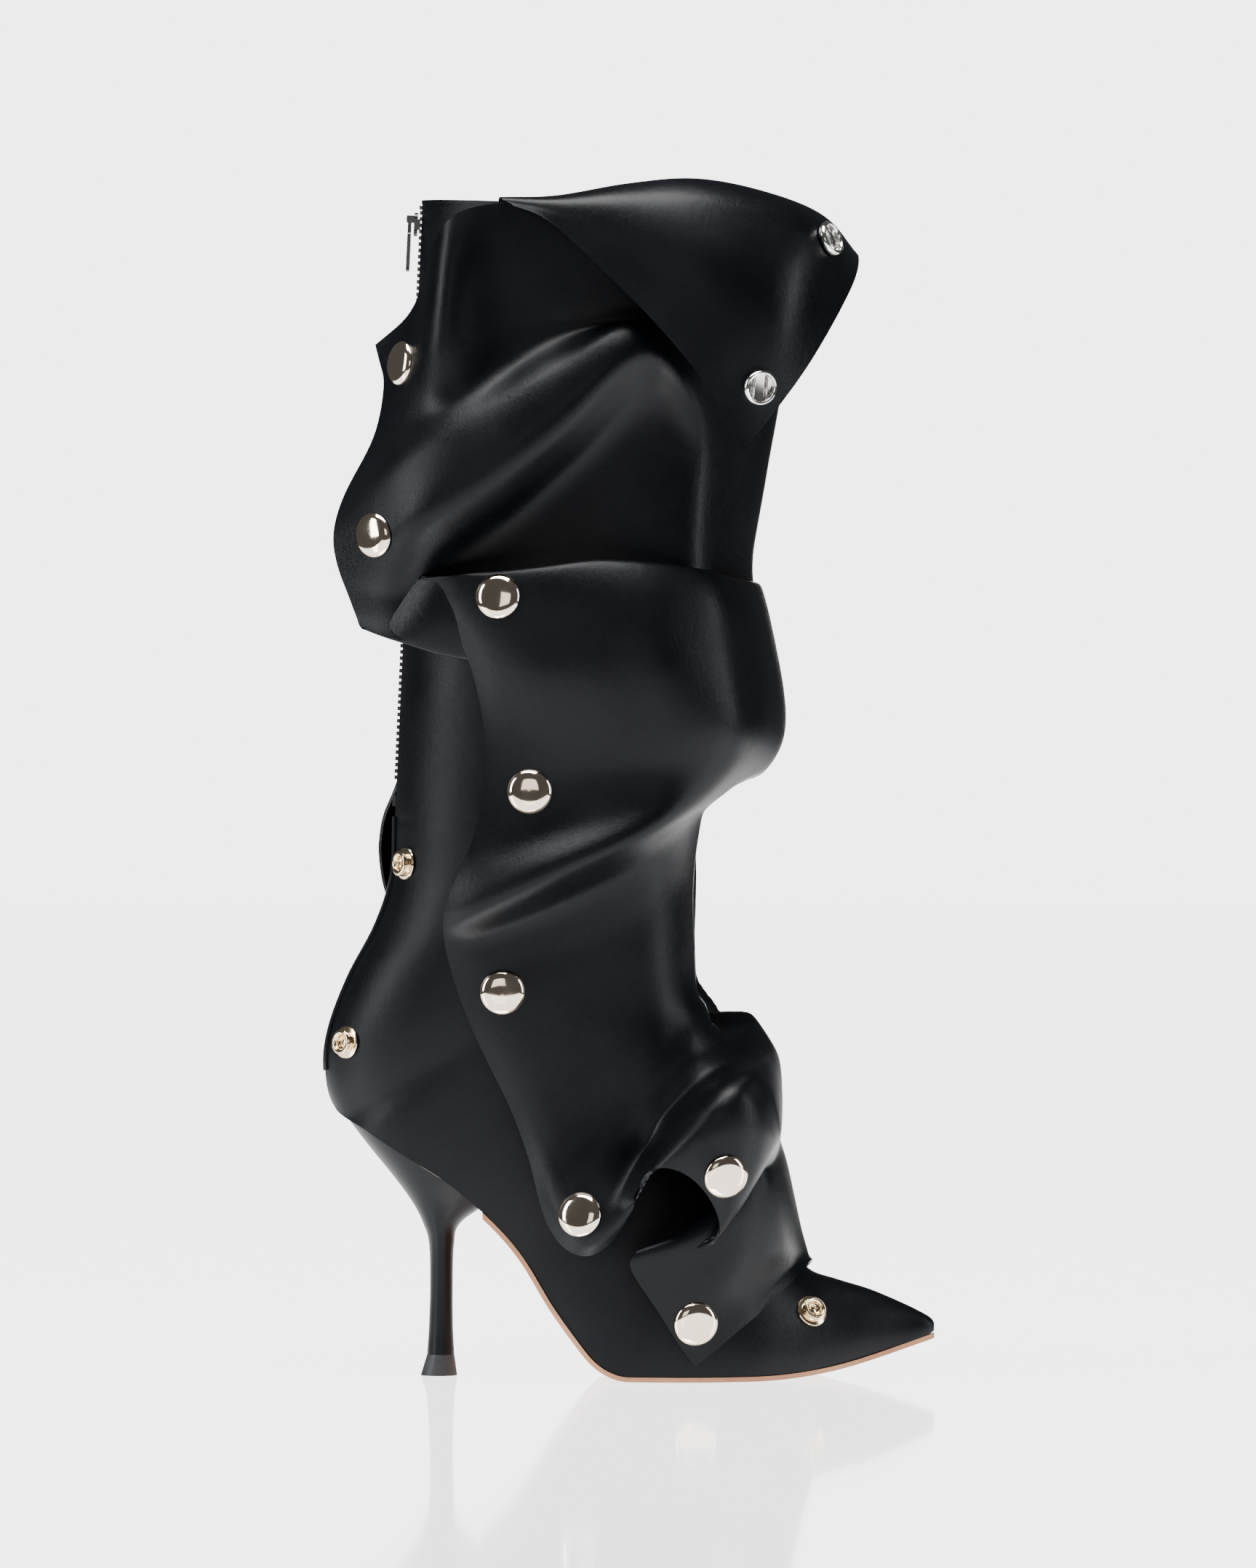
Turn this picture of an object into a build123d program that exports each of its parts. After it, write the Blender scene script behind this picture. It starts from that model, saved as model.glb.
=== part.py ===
"""Tall pointed-toe stiletto boot with a snap-fastened leather panel draped round it.

Frame: origin at the centre of the heel tip's ground face, +X to the toe, +Z up, -Y lateral.
All sizes are millimetres.
"""
from build123d import *
from math import acos, asin, cos, hypot, pi, sin
import os

# ---------------------------------------------------------------- driving dimensions
LEATHER = 1.2            # upper leather
STIFFENER = 0.6          # toe puff, heel counter and zip tape
BOND = 0.4               # cement room on each side of a stiffener
LINING = 0.8             # lining leather
SOLE = 1.8               # outsole
FILLER = 1.2             # filler and shank layer
BOARD = 2.0              # insole board
SOCK = 0.8               # sock lining
SLIT_HALF = 5.0          # half the gap that the zip fills
TAPE_HALF = 13.0
ZIP_TOP = (-6.5, 446.0)  # straight run of the zip down the back of the shaft
ZIP_END = (-17.0, 216.0)
TEETH_PITCH = 2.4
HEEL_BREAST_X = 17.0     # where the outsole stops against the heel
HEEL_COVER = 0.9
PANEL = 1.5              # draped panel, leather and backing
FLAP_X = 88.0            # line along which each side of the panel opens
FLAP_GAP = 0.6           # half the gap between the panel's fixed and opening parts
COLLAR_RISE = 7.5        # how far the turned-over collar stands off the panel
CAP_R = 8.5              # snap hardware
CAP_HEIGHT = 3.2
SOCKET_R = 6.75
SOCKET_HEIGHT = 3.0
STUD_R = 4.8
STUD_FLANGE_R = 6.2
POST_R = 1.5

# Stations of the shaft and foot, from the rim down and out to the toe:
# (front x, front z, back x, back z, half width, pinch of the front, half width at the back end)
SHAFT_STATIONS = [
    (131.0, 441.0, -6.5, 448.0, 47.0, 0.0, 0.0),
    (124.8, 395.0, -8.9, 395.0, 46.0, 0.0, 0.0),
    (116.0, 340.0, -11.4, 340.0, 44.0, 0.0, 0.0),
    (106.0, 280.0, -14.1, 280.0, 42.0, 0.0, 0.0),
    (100.0, 238.0, -16.0, 238.0, 40.0, 0.0, 0.0),
    (98.0, 214.0, -17.1, 214.0, 39.0, 0.0, 0.0),
]
QUARTER_STATIONS = [
    SHAFT_STATIONS[-1],
    (97.2, 200.0, -16.5, 192.0, 38.0, 0.0, 0.0),
    (96.7, 192.0, -22.0, 173.0, 37.0, 0.0, 0.0),
    (96.4, 187.0, -34.5, 153.0, 36.0, 0.02, 0.0),
    (96.2, 183.0, -43.0, 133.0, 35.0, 0.04, 0.0),
    (96.1, 180.0, -43.6, 117.0, 34.5, 0.06, 0.0),
    (96.0, 177.0, -40.0, 102.8, 34.0, 0.08, 4.0),
    (95.9, 174.0, -28.0, 95.0, 33.7, 0.10, 19.0),
    (95.9, 170.0, -14.0, 86.0, 33.5, 0.12, 25.0),
    (95.9, 166.0, 3.3, 75.3, 33.0, 0.14, 28.0),
    (96.2, 158.0, 18.8, 62.3, 33.0, 0.16, 28.5),
    (96.6, 149.0, 33.0, 46.1, 33.5, 0.18, 28.5),
]
VAMP_STATIONS = [
    QUARTER_STATIONS[-1],
    (97.5, 138.0, 43.0, 29.7, 35.0, 0.20, 30.0),
    (100.0, 124.0, 54.2, 13.9, 37.0, 0.22, 33.0),
    (104.5, 108.0, 67.3, 2.9, 39.0, 0.24, 36.5),
    (110.0, 95.0, 80.0, 1.8, 40.5, 0.25, 38.5),
    (117.0, 80.0, 96.0, 1.8, 41.0, 0.25, 39.5),
    (125.0, 64.0, 110.0, 1.8, 39.0, 0.25, 37.5),
    (132.0, 52.0, 122.0, 1.9, 35.5, 0.25, 34.0),
    (141.5, 41.0, 137.0, 2.7, 28.0, 0.22, 26.5),
    (152.0, 37.0, 150.0, 4.8, 21.0, 0.20, 19.5),
    (165.0, 33.0, 164.0, 8.2, 14.0, 0.15, 12.5),
    (178.0, 27.5, 178.0, 12.2, 7.5, 0.1, 6.5),
    (186.0, 23.5, 186.0, 15.0, 3.9, 0.0, 3.4),
]
TOE_TIP = (188.8, 21.5, 188.8, 16.2, 2.4, 0.0, 2.2)

# Underside of the sole, seen from the side: heel seat and arch, then the toe spring
ARCH_LINE = [
    (-52.0, 108.0), (-41.0, 101.0), (-17.2, 86.0), (2.2, 73.8), (17.5, 61.0), (31.5, 45.0),
    (41.3, 28.8), (52.8, 12.7), (60.0, 4.8), (67.0, 1.0), (74.0, 0.0),
]
TOE_LINE = [(118.0, 0.0), (136.0, 0.8), (154.0, 3.6), (172.0, 8.6), (190.0, 14.4), (198.0, 17.0)]

# Heel sections: height, back x, front x, half width
HEEL_SECTIONS = [
    (8.0, -4.6, 5.9, 6.0), (18.0, -3.9, 5.4, 5.4), (34.0, -3.4, 5.3, 5.6), (50.0, -3.8, 5.8, 7.0),
    (58.0, -6.0, 8.0, 9.5), (66.0, -10.0, 18.5, 13.5), (76.0, -17.2, 30.0, 19.5),
    (90.0, -28.5, 42.0, 26.5), (108.0, -42.0, 58.0, 32.0),
]

# Oval sections of the draped panel: height, rear x, front x, half width
PANEL_SECTIONS = [
    (-2.0, -8.0, 155.0, 54.0), (20.0, -8.0, 152.0, 53.0), (41.0, -10.0, 146.0, 50.0),
    (65.0, -20.0, 136.0, 47.0), (91.0, -30.0, 130.5, 46.0), (112.0, -34.0, 130.0, 46.0),
    (136.0, -34.0, 118.0, 46.5), (153.0, -32.0, 103.0, 47.0), (172.0, -30.0, 103.5, 48.0),
    (196.0, -29.0, 105.0, 49.0), (215.0, -28.0, 108.0, 50.0), (235.0, -28.0, 125.0, 52.0),
    (255.0, -30.0, 132.0, 54.5), (285.0, -40.0, 125.0, 56.5), (310.0, -46.0, 119.5, 54.5),
    (340.0, -46.0, 123.0, 55.5), (370.0, -40.0, 132.0, 57.0), (400.0, -37.0, 146.0, 58.0),
    (427.0, -38.0, 158.0, 59.5), (445.0, -39.0, 161.0, 60.0), (470.0, -40.0, 164.0, 60.0),
]

# Side-view edges of the panel's parts, bottom to top: (height, rear x, front x)
FLAP_LOWER_EDGES = [
    (49.2, 53.5, 57.0), (54.2, 46.7, 65.0), (64.7, 40.7, 72.0), (72.0, 38.5, 76.0),
    (82.6, 36.2, 88.0), (103.6, 28.7, 88.0), (124.6, 18.3, 88.0), (145.5, 9.3, 88.0),
    (166.5, 3.3, 88.0), (175.5, 2.7, 88.0), (190.5, 6.3, 88.0), (205.4, 13.8, 88.0),
    (223.4, 18.3, 88.0), (241.4, 18.9, 88.0), (259.3, 15.9, 88.0), (272.8, 13.8, 88.0),
]
FLAP_UPPER_EDGES = [
    (272.8, 13.8, 88.0), (279.7, -11.7, 88.0), (285.4, -27.5, 88.0), (301.0, -34.0, 88.0),
    (316.0, -38.0, 88.0), (325.0, -38.4, 88.0), (334.0, -35.6, 88.0), (349.0, -26.7, 88.0),
    (370.0, -19.2, 88.0), (382.0, -19.2, 88.0), (393.8, -22.8, 88.0), (404.6, -10.2, 88.0),
    (415.0, -4.2, 88.0), (433.0, 0.3, 88.0), (442.0, 6.3, 88.0), (446.0, 22.0, 88.0),
    (452.5, 72.0, 88.0),
]
FLAP_MEDIAL_EDGES = [
    (23.0, 84.0, 88.0), (38.0, 66.0, 88.0), (55.0, 50.0, 88.0), (80.0, 38.0, 88.0),
    (103.0, 28.0, 88.0), (124.0, 16.0, 88.0), (145.0, 4.0, 88.0), (165.0, -8.0, 88.0),
    (181.0, -19.0, 88.0), (193.0, -22.5, 88.0), (211.0, -22.5, 88.0), (225.0, -16.2, 88.0),
    (245.0, -8.0, 88.0), (280.0, -6.0, 88.0), (320.0, -8.0, 88.0), (360.0, -8.0, 88.0),
    (400.0, -6.0, 88.0), (428.0, -3.0, 88.0), (438.0, 6.0, 88.0), (443.0, 40.0, 88.0),
    (449.0, 84.0, 88.0),
]
FRONT_BOTTOM_EDGES = [(8.0, 97.0, 100.0), (19.0, 88.0, 113.7), (32.0, 88.0, 129.9),
                      (43.0, 88.0, 143.4)]
FRONT_TOP_EDGES = [(431.0, 88.0, 157.5), (433.0, 88.0, 156.0), (442.0, 88.0, 144.0),
                   (450.1, 88.0, 120.1), (454.0, 88.0, 96.0)]
COLLAR_REAR_EDGES = [(394.5, 86.0, 88.0), (418.0, 66.2, 88.0), (439.0, 42.2, 88.0),
                     (447.4, 26.0, 88.0), (452.5, 72.2, 88.0)]
COLLAR_LOWER_EDGES = [(353.5, 115.2, 116.6), (367.1, 108.1, 129.5), (370.0, 106.1, 132.0),
                      (388.0, 93.5, 145.0), (394.5, 88.0, 149.0)]
COLLAR_UPPER_EDGES = [(394.5, 88.0, 149.0), (410.0, 88.0, 158.0), (424.0, 88.0, 162.5),
                      (433.0, 88.0, 157.0), (442.0, 88.0, 144.0), (450.1, 88.0, 120.1),
                      (454.0, 88.0, 96.0)]

# Snap centres in side view
FLAP_LOWER_SNAPS = [(35.3, 224.6), (24.9, 148.5), (54.2, 64.7)]
FLAP_UPPER_SNAPS = [(-13.8, 386.6), (-23.7, 321.3), (23.4, 298.3)]
FRONT_SNAPS = [(109.3, 79.7), (98.2, 22.8)]
MEDIAL_SNAPS = [(8.0, 395.0), (5.0, 315.0), (6.0, 240.0), (14.0, 160.0), (48.0, 85.0)]
COLLAR_SNAPS = [(121.6, 377.0), (147.0, 430.0)]
VAMP_STUDS = [(142.5, 25.8), (98.2, 22.8)]
QUARTER_STUDS = [(-35.0, 128.2), (-12.0, 196.4), (24.9, 148.5)]
SHAFT_STUDS = [(23.4, 298.3), (35.3, 224.6)]

os.makedirs("parts", exist_ok=True)


def save(piece, name):
    """Label a finished piece and write it as one STEP file."""
    piece.part.label = name
    export_step(piece.part, f"parts/{name}.step")


# ---------------------------------------------------------------- shells of the boot
LOFT_RUN = 4             # bands in each loft of a long shell


def station_plane(station):
    """Plane of a station: local x runs from the front point to the back point."""
    front_x, front_z, back_x, back_z = station[:4]
    down = Vector(back_x - front_x, 0, back_z - front_z).normalized()
    middle = Vector((front_x + back_x) / 2, 0, (front_z + back_z) / 2)
    return Plane(origin=middle, x_dir=down, z_dir=down.cross(Vector(0, 1, 0)))


def half_outline(station, inset, start=0.0, end_half=None, side=-1, count=9):
    """Points round one side of a station, from the front to its back end.

    start is the angle to begin at, 0 for the front centre, and end_half the half width
    to stop at when that isn't the station's own.
    """
    front_x, front_z, back_x, back_z, half_width, pinch, own_end = station
    length = hypot(back_x - front_x, back_z - front_z)
    width = half_width - inset
    closed = own_end < 5
    end = own_end if end_half is None else end_half
    if not closed:
        end = own_end - inset
    stop = pi - asin(min(end / width, 1))
    back_stop = pi if closed else stop
    top = -length / 2 + inset
    bottom = length / 2 - (inset if closed else 0)
    points = []
    for k in range(count):
        angle = start + (stop - start) * k / (count - 1)
        share = (1 - cos(angle)) / (1 - cos(back_stop))
        across = width * sin(angle) * (1 - pinch * (1 - share))
        points.append((top + (bottom - top) * share, side * across))
    return points


def shell(stations, outer, inner, outline):
    """Ruled shell through stations, between two insets of the same outline."""
    last = len(stations) - 1
    with BuildPart() as piece:
        for first in range(0, last, LOFT_RUN):
            for station in stations[first: min(first + LOFT_RUN, last) + 1]:
                outside = outline(station, outer)
                inside = outline(station, inner)
                with BuildSketch(station_plane(station)):
                    with BuildLine():
                        Spline(*outside)
                        Line(outside[-1], inside[-1])
                        Spline(*reversed(inside))
                        Line(inside[0], outside[0])
                    make_face()
            loft(ruled=True)
    return piece


def lateral_side(station, inset):
    return half_outline(station, inset, side=-1)


def medial_side(station, inset):
    return half_outline(station, inset, side=1)


def lateral_to_slit(station, inset):
    return half_outline(station, inset, end_half=SLIT_HALF, side=-1)


def medial_to_slit(station, inset):
    return half_outline(station, inset, end_half=SLIT_HALF, side=1)


def over_the_front(station, inset):
    """From one lower edge over the instep to the other."""
    return lateral_side(station, inset)[::-1] + medial_side(station, inset)[1:]


def front_to_slit(station, inset):
    """From one edge of the slit round the front to the other."""
    return lateral_to_slit(station, inset)[::-1] + medial_to_slit(station, inset)[1:]


def across_the_back(half_width):
    """Outline of a strip down the back that reaches half_width to each side."""
    def outline(station, inset):
        start = pi - asin(half_width / station[4])
        lateral = half_outline(station, inset, start=start, end_half=0, side=-1, count=4)
        medial = half_outline(station, inset, start=start, end_half=0, side=1, count=4)
        return lateral + medial[-2::-1]
    return outline


def counter_side(side):
    """Outline of one side of the heel counter, the rear part of the side outline."""
    def outline(station, inset):
        return half_outline(station, inset, side=side)[5:]
    return outline


shaft_lateral = shell(SHAFT_STATIONS, 0, LEATHER, lateral_to_slit)
shaft_medial = shell(SHAFT_STATIONS, 0, LEATHER, medial_to_slit)
quarter_lateral = shell(QUARTER_STATIONS, 0, LEATHER, lateral_side)
quarter_medial = shell(QUARTER_STATIONS, 0, LEATHER, medial_side)

with BuildPart() as vamp:
    add(shell(VAMP_STATIONS, 0, LEATHER, over_the_front).part)
    for station in [VAMP_STATIONS[-1], TOE_TIP]:
        nose = over_the_front(station, 0)
        with BuildSketch(station_plane(station)):
            with BuildLine():
                Spline(*nose)
                Line(nose[-1], nose[0])
            make_face()
    loft(ruled=True)

stiffener_outer = LEATHER + BOND
stiffener_inner = stiffener_outer + STIFFENER
lining_outer = stiffener_inner + BOND
lining_inner = lining_outer + LINING
shaft_lining = shell(SHAFT_STATIONS, lining_outer, lining_inner, front_to_slit)
quarter_lining_lateral = shell(QUARTER_STATIONS, lining_outer, lining_inner, lateral_side)
quarter_lining_medial = shell(QUARTER_STATIONS, lining_outer, lining_inner, medial_side)
vamp_lining = shell(VAMP_STATIONS[:-1], lining_outer, lining_inner, over_the_front)
toe_puff = shell(VAMP_STATIONS[8:-1], stiffener_outer, stiffener_inner, over_the_front)
zip_tape = shell(SHAFT_STATIONS, stiffener_outer, stiffener_inner, across_the_back(TAPE_HALF))
backstay = shell(QUARTER_STATIONS[:6], -0.9, 0, across_the_back(6.0))

with BuildPart() as heel_counter:
    for side in (-1, 1):
        add(shell(QUARTER_STATIONS[4:10], stiffener_outer, stiffener_inner,
                  counter_side(side)).part)

with BuildPart() as top_binding:
    rim = SHAFT_STATIONS[0]
    rim_outside = front_to_slit(rim, -0.3)
    rim_inside = front_to_slit(rim, lining_inner + 0.3)
    with BuildSketch(station_plane(rim)):
        with BuildLine():
            Spline(*rim_outside)
            Line(rim_outside[-1], rim_inside[-1])
            Spline(*reversed(rim_inside))
            Line(rim_inside[0], rim_outside[0])
        make_face()
    extrude(amount=-1.4)

save(shaft_lateral, "shaft_lateral")
save(shaft_medial, "shaft_medial")
save(quarter_lateral, "quarter_lateral")
save(quarter_medial, "quarter_medial")
save(vamp, "vamp")
save(shaft_lining, "shaft_lining")
save(quarter_lining_lateral, "quarter_lining_lateral")
save(quarter_lining_medial, "quarter_lining_medial")
save(vamp_lining, "vamp_lining")
save(toe_puff, "toe_puff")
save(zip_tape, "zip_tape")
save(backstay, "backstay")
save(heel_counter, "heel_counter")
save(top_binding, "top_binding")


# ---------------------------------------------------------------- sole unit
def sole_edge(rise):
    """Points of the sole's side-view line moved up by rise, as arch and toe stretches."""
    line = ARCH_LINE + TOE_LINE
    moved = []
    for number, (x, z) in enumerate(line):
        x0, z0 = line[max(number - 1, 0)]
        x1, z1 = line[min(number + 1, len(line) - 1)]
        run = hypot(x1 - x0, z1 - z0)
        moved.append((x - (z1 - z0) / run * rise, z + (x1 - x0) / run * rise))
    flat_start = (ARCH_LINE[-1][0], rise)
    flat_end = (TOE_LINE[0][0], rise)
    arch = moved[: len(ARCH_LINE) - 1] + [flat_start]
    toe = [flat_end] + moved[len(ARCH_LINE) + 1:]
    return arch, toe


def draw_sole_line(rise):
    """Draw one sole line, and return its two end points."""
    arch, toe = sole_edge(rise)
    Spline(*arch, tangents=[(11.0, -7.0), (1.0, 0.0)])
    Line(arch[-1], toe[0])
    Spline(*toe, tangents=[(1.0, 0.0), (8.0, 2.6)])
    return arch[0], toe[-1]


def sole_layer(low, high, margin, x_low, x_high):
    """Layer between two heights above the sole's underside, margin inside the feather edge."""
    foot = QUARTER_STATIONS[6:] + VAMP_STATIONS[1:] + [TOE_TIP]
    half = [(station[2], station[6] - margin) for station in foot if station[6] - margin > 1]
    outline = [(half[0][0] - 1 + margin, 0)] + half + [(half[-1][0] + 1, 0)]
    with BuildPart() as layer:
        with BuildSketch(Plane.XZ.offset(-70)):
            with BuildLine():
                low_heel, low_toe = draw_sole_line(low)
                high_heel, high_toe = draw_sole_line(high)
                Line(low_heel, high_heel)
                Line(low_toe, high_toe)
            make_face()
        extrude(amount=140)
        with BuildSketch(Plane.XY.offset(-20)):
            with BuildLine():
                edge = Spline(*outline)
                mirror(edge, about=Plane.XZ)
            make_face()
        extrude(amount=200, mode=Mode.INTERSECT)
        with Locations(((x_low + x_high) / 2, 0, 60)):
            Box(x_high - x_low, 140, 160, mode=Mode.INTERSECT)
    return layer


outsole = sole_layer(0, SOLE, -0.6, HEEL_BREAST_X, 220)
save(outsole, "outsole")

SHANK_HALF = 6.5
BOARD_MARGIN = 4.6       # board and filler stay this far inside the feather edge
SHANK_X = (-26.0, 62.0)
with BuildPart() as shank:
    add(sole_layer(SOLE, SOLE + FILLER, 4, *SHANK_X).part)
    with Locations((sum(SHANK_X) / 2, 0, 60)):
        Box(120, 2 * SHANK_HALF, 160, mode=Mode.INTERSECT)
save(shank, "shank")

with BuildPart() as filler:
    add(sole_layer(SOLE, SOLE + FILLER, BOARD_MARGIN, -60, 172).part)
    with Locations((sum(SHANK_X) / 2, 0, 60)):
        Box(SHANK_X[1] - SHANK_X[0], 2 * SHANK_HALF, 200, mode=Mode.SUBTRACT)
save(filler, "sole_filler")

board_low = SOLE + FILLER
sock_low = board_low + BOARD
insole_board = sole_layer(board_low, sock_low, BOARD_MARGIN, -60, 172)
sock_lining = sole_layer(sock_low, sock_low + SOCK, BOARD_MARGIN + 0.4, -60, 170)
save(insole_board, "insole_board")
save(sock_lining, "sock_lining")


# ---------------------------------------------------------------- heel
def heel_solid(inset):
    """Heel column by its level sections, cut to the sole line on top."""
    with BuildPart() as column:
        for height, back_x, front_x, half_width in HEEL_SECTIONS:
            with BuildSketch(Plane.XY.offset(height)):
                with Locations(((back_x + front_x) / 2, 0)):
                    Ellipse((front_x - back_x) / 2 - inset, half_width - inset)
        loft(ruled=True)
        with BuildSketch(Plane.XZ.offset(-70)):
            with BuildLine():
                heel, toe = draw_sole_line(SOLE)
                Polyline(toe, (toe[0], -20), (heel[0], -20), heel)
            make_face()
        extrude(amount=140, mode=Mode.INTERSECT)
        add(outsole.part, mode=Mode.SUBTRACT)
    return column


ROD_X = 0.8              # rod and tip pin
ROD_R = 2.2
PIN_R = 1.2
SCREW_X = -9.0
SCREW_R = 1.8
NAIL_R = 0.8
NAIL_POINTS = [(-12, -7, 74.5), (-12, 7, 74.5), (6, -7, 62.5), (6, 7, 62.5)]
TIP_HEIGHT = HEEL_SECTIONS[0][0]
heel_outer = heel_solid(0)
with BuildPart() as heel_block:
    add(heel_solid(HEEL_COVER).part)
    with Locations((ROD_X, 0, 30)):
        Cylinder(ROD_R, 60, mode=Mode.SUBTRACT)
    with Locations((SCREW_X, 0, 79)):
        Cylinder(SCREW_R, 18, mode=Mode.SUBTRACT)
    with Locations(*NAIL_POINTS):
        Cylinder(NAIL_R, 16, align=(Align.CENTER, Align.CENTER, Align.MIN), mode=Mode.SUBTRACT)
save(heel_block, "heel_block")

with BuildPart() as heel_cover:
    add(heel_outer.part)
    add(heel_solid(HEEL_COVER).part, mode=Mode.SUBTRACT)
save(heel_cover, "heel_cover")

with BuildPart() as heel_tip:
    with BuildSketch():
        Ellipse(7.0, 7.0)
    with BuildSketch(Plane.XY.offset(TIP_HEIGHT)):
        with Locations((0.65, 0)):
            Ellipse(5.25, 6.0)
    loft()
    with Locations((ROD_X, 0, 5)):
        Cylinder(PIN_R, 6.001, mode=Mode.SUBTRACT)
save(heel_tip, "heel_tip")

with BuildPart() as heel_tip_pin:
    with Locations((ROD_X, 0, 2)):
        Cylinder(PIN_R, 22, align=(Align.CENTER, Align.CENTER, Align.MIN))
save(heel_tip_pin, "heel_tip_pin")

with BuildPart() as heel_rod:
    with Locations((ROD_X, 0, TIP_HEIGHT)):
        Cylinder(ROD_R, 60 - TIP_HEIGHT, align=(Align.CENTER, Align.CENTER, Align.MIN))
        Cylinder(PIN_R, 18, align=(Align.CENTER, Align.CENTER, Align.MIN), mode=Mode.SUBTRACT)
save(heel_rod, "heel_rod")

with BuildPart() as heel_screw:
    with Locations((SCREW_X, 0, 70)):
        Cylinder(SCREW_R, 15.2, align=(Align.CENTER, Align.CENTER, Align.MIN))
save(heel_screw, "heel_screw")

with BuildPart() as heel_nails:
    with Locations(*NAIL_POINTS):
        Cylinder(NAIL_R, 9, align=(Align.CENTER, Align.CENTER, Align.MIN))
save(heel_nails, "heel_nails")

# ---------------------------------------------------------------- zip
zip_down = Vector(ZIP_END[0] - ZIP_TOP[0], 0, ZIP_END[1] - ZIP_TOP[1]).normalized()
zip_length = hypot(ZIP_END[0] - ZIP_TOP[0], ZIP_END[1] - ZIP_TOP[1])
zip_out = Vector(zip_down.Z, 0, -zip_down.X)
# Local x runs down the zip, local z out of the leg from the leather's outer face
zip_plane = Plane(origin=(ZIP_TOP[0], 0, ZIP_TOP[1]), x_dir=zip_down, z_dir=zip_out)
STOP_TO_END = 4.0
SLIDER_LONG = 9.0
SLIDER_START = 5.8       # slider's middle below the top end of the zip, when closed
BAIL_ABOVE = 2.0         # pull's pivot above the slider's middle
PIVOT_OUT = 4.3
PIVOT_R = 0.6
PULL_LONG = 20.0
PULL_WIDE = 6.4
slider_plane = Plane(zip_plane * Location((SLIDER_START, 0, 0)))
pivot_plane = Plane(slider_plane * Location((-BAIL_ABOVE, 0, PIVOT_OUT)))

with BuildPart() as zip_teeth:
    for row in range(int((zip_length - 10) / TEETH_PITCH)):
        side = 0.75 if row % 2 else -0.75
        with Locations(zip_plane * Location((1.2 + row * TEETH_PITCH, side, -0.2))):
            Box(1.5, 3.2, 1.6)
save(zip_teeth, "zip_teeth")

with BuildPart() as zip_stops:
    with Locations(zip_plane * Location((zip_length - STOP_TO_END, 0, -0.1))):
        Box(4.0, 7.0, 2.0)
    with Locations(zip_plane * Location((-0.7, -2.4, -0.1)),
                   zip_plane * Location((-0.7, 2.4, -0.1))):
        Box(1.4, 2.2, 1.8)
save(zip_stops, "zip_stops")

with BuildPart() as zip_slider:
    with BuildSketch(Plane(slider_plane * Location((0, 0, 1.2)))):
        RectangleRounded(SLIDER_LONG, 8.4, 2.4)
    extrude(amount=1.4)
    with Locations(slider_plane * Location((0, -3.7, 0.8)),
                   slider_plane * Location((0, 3.7, 0.8))):
        Box(SLIDER_LONG - 5, 0.9, 1.0)
    with Locations(pivot_plane * Location((0, -1.9, -0.5)),
                   pivot_plane * Location((0, 1.9, -0.5))):
        Box(2.8, 0.9, 3.4)
    with Locations(pivot_plane * Location((0, 0, 0), (90, 0, 0))):
        Cylinder(PIVOT_R, 4.6)
save(zip_slider, "zip_slider")

with BuildPart() as zip_pull:
    with BuildSketch(Plane(pivot_plane * Location((0, 0, -0.7)))):
        with Locations((PULL_LONG / 2 + 2.4, 0)):
            RectangleRounded(PULL_LONG - 4.8, PULL_WIDE, 1.6)
        with Locations((2.4, 0)):
            Rectangle(6.0, 2.4)
        with Locations((PULL_LONG / 2 + 3.6, 0)):
            SlotOverall(10.0, 2.6, mode=Mode.SUBTRACT)
    extrude(amount=1.4)
    with Locations(pivot_plane * Location((0, 0, 0), (90, 0, 0))):
        Cylinder(1.35, 2.4)
        Cylinder(PIVOT_R + 0.1, 2.4, mode=Mode.SUBTRACT)
save(zip_pull, "zip_pull")


# ---------------------------------------------------------------- draped panel
def between(before, start, end, after, share):
    """Smooth value a share of the way from start to end, given the values beside them."""
    slope_in = (end - before) / 2
    slope_out = (after - start) / 2
    cube = 2 * start - 2 * end + slope_in + slope_out
    square = -3 * start + 3 * end - 2 * slope_in - slope_out
    return ((cube * share + square) * share + slope_in) * share + start


def panel_oval(height):
    """Centre x, half length and half width of the panel's oval at a height."""
    last = len(PANEL_SECTIONS) - 1
    low = max(k for k in range(last) if PANEL_SECTIONS[k][0] <= height)
    near = [PANEL_SECTIONS[min(max(low + step, 0), last)] for step in (-1, 0, 1, 2)]
    share = (height - near[1][0]) / (near[2][0] - near[1][0])
    rear, front, half = [between(*values, share) for values in list(zip(*near))[1:]]
    return (rear + front) / 2, (front - rear) / 2, half


def oval_angle(height, x):
    """Angle round the oval, 0 at the front, at which it reaches x."""
    centre, half_long, _ = panel_oval(height)
    return acos(max(-1, min(1, (x - centre) / half_long)))


def oval_point(height, angle, rise=0.0):
    """Point of the panel's outer surface, moved outwards by rise."""
    centre, half_long, half_wide = panel_oval(height)
    return (centre + (half_long + rise) * cos(angle), (half_wide + rise) * sin(angle))


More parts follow.
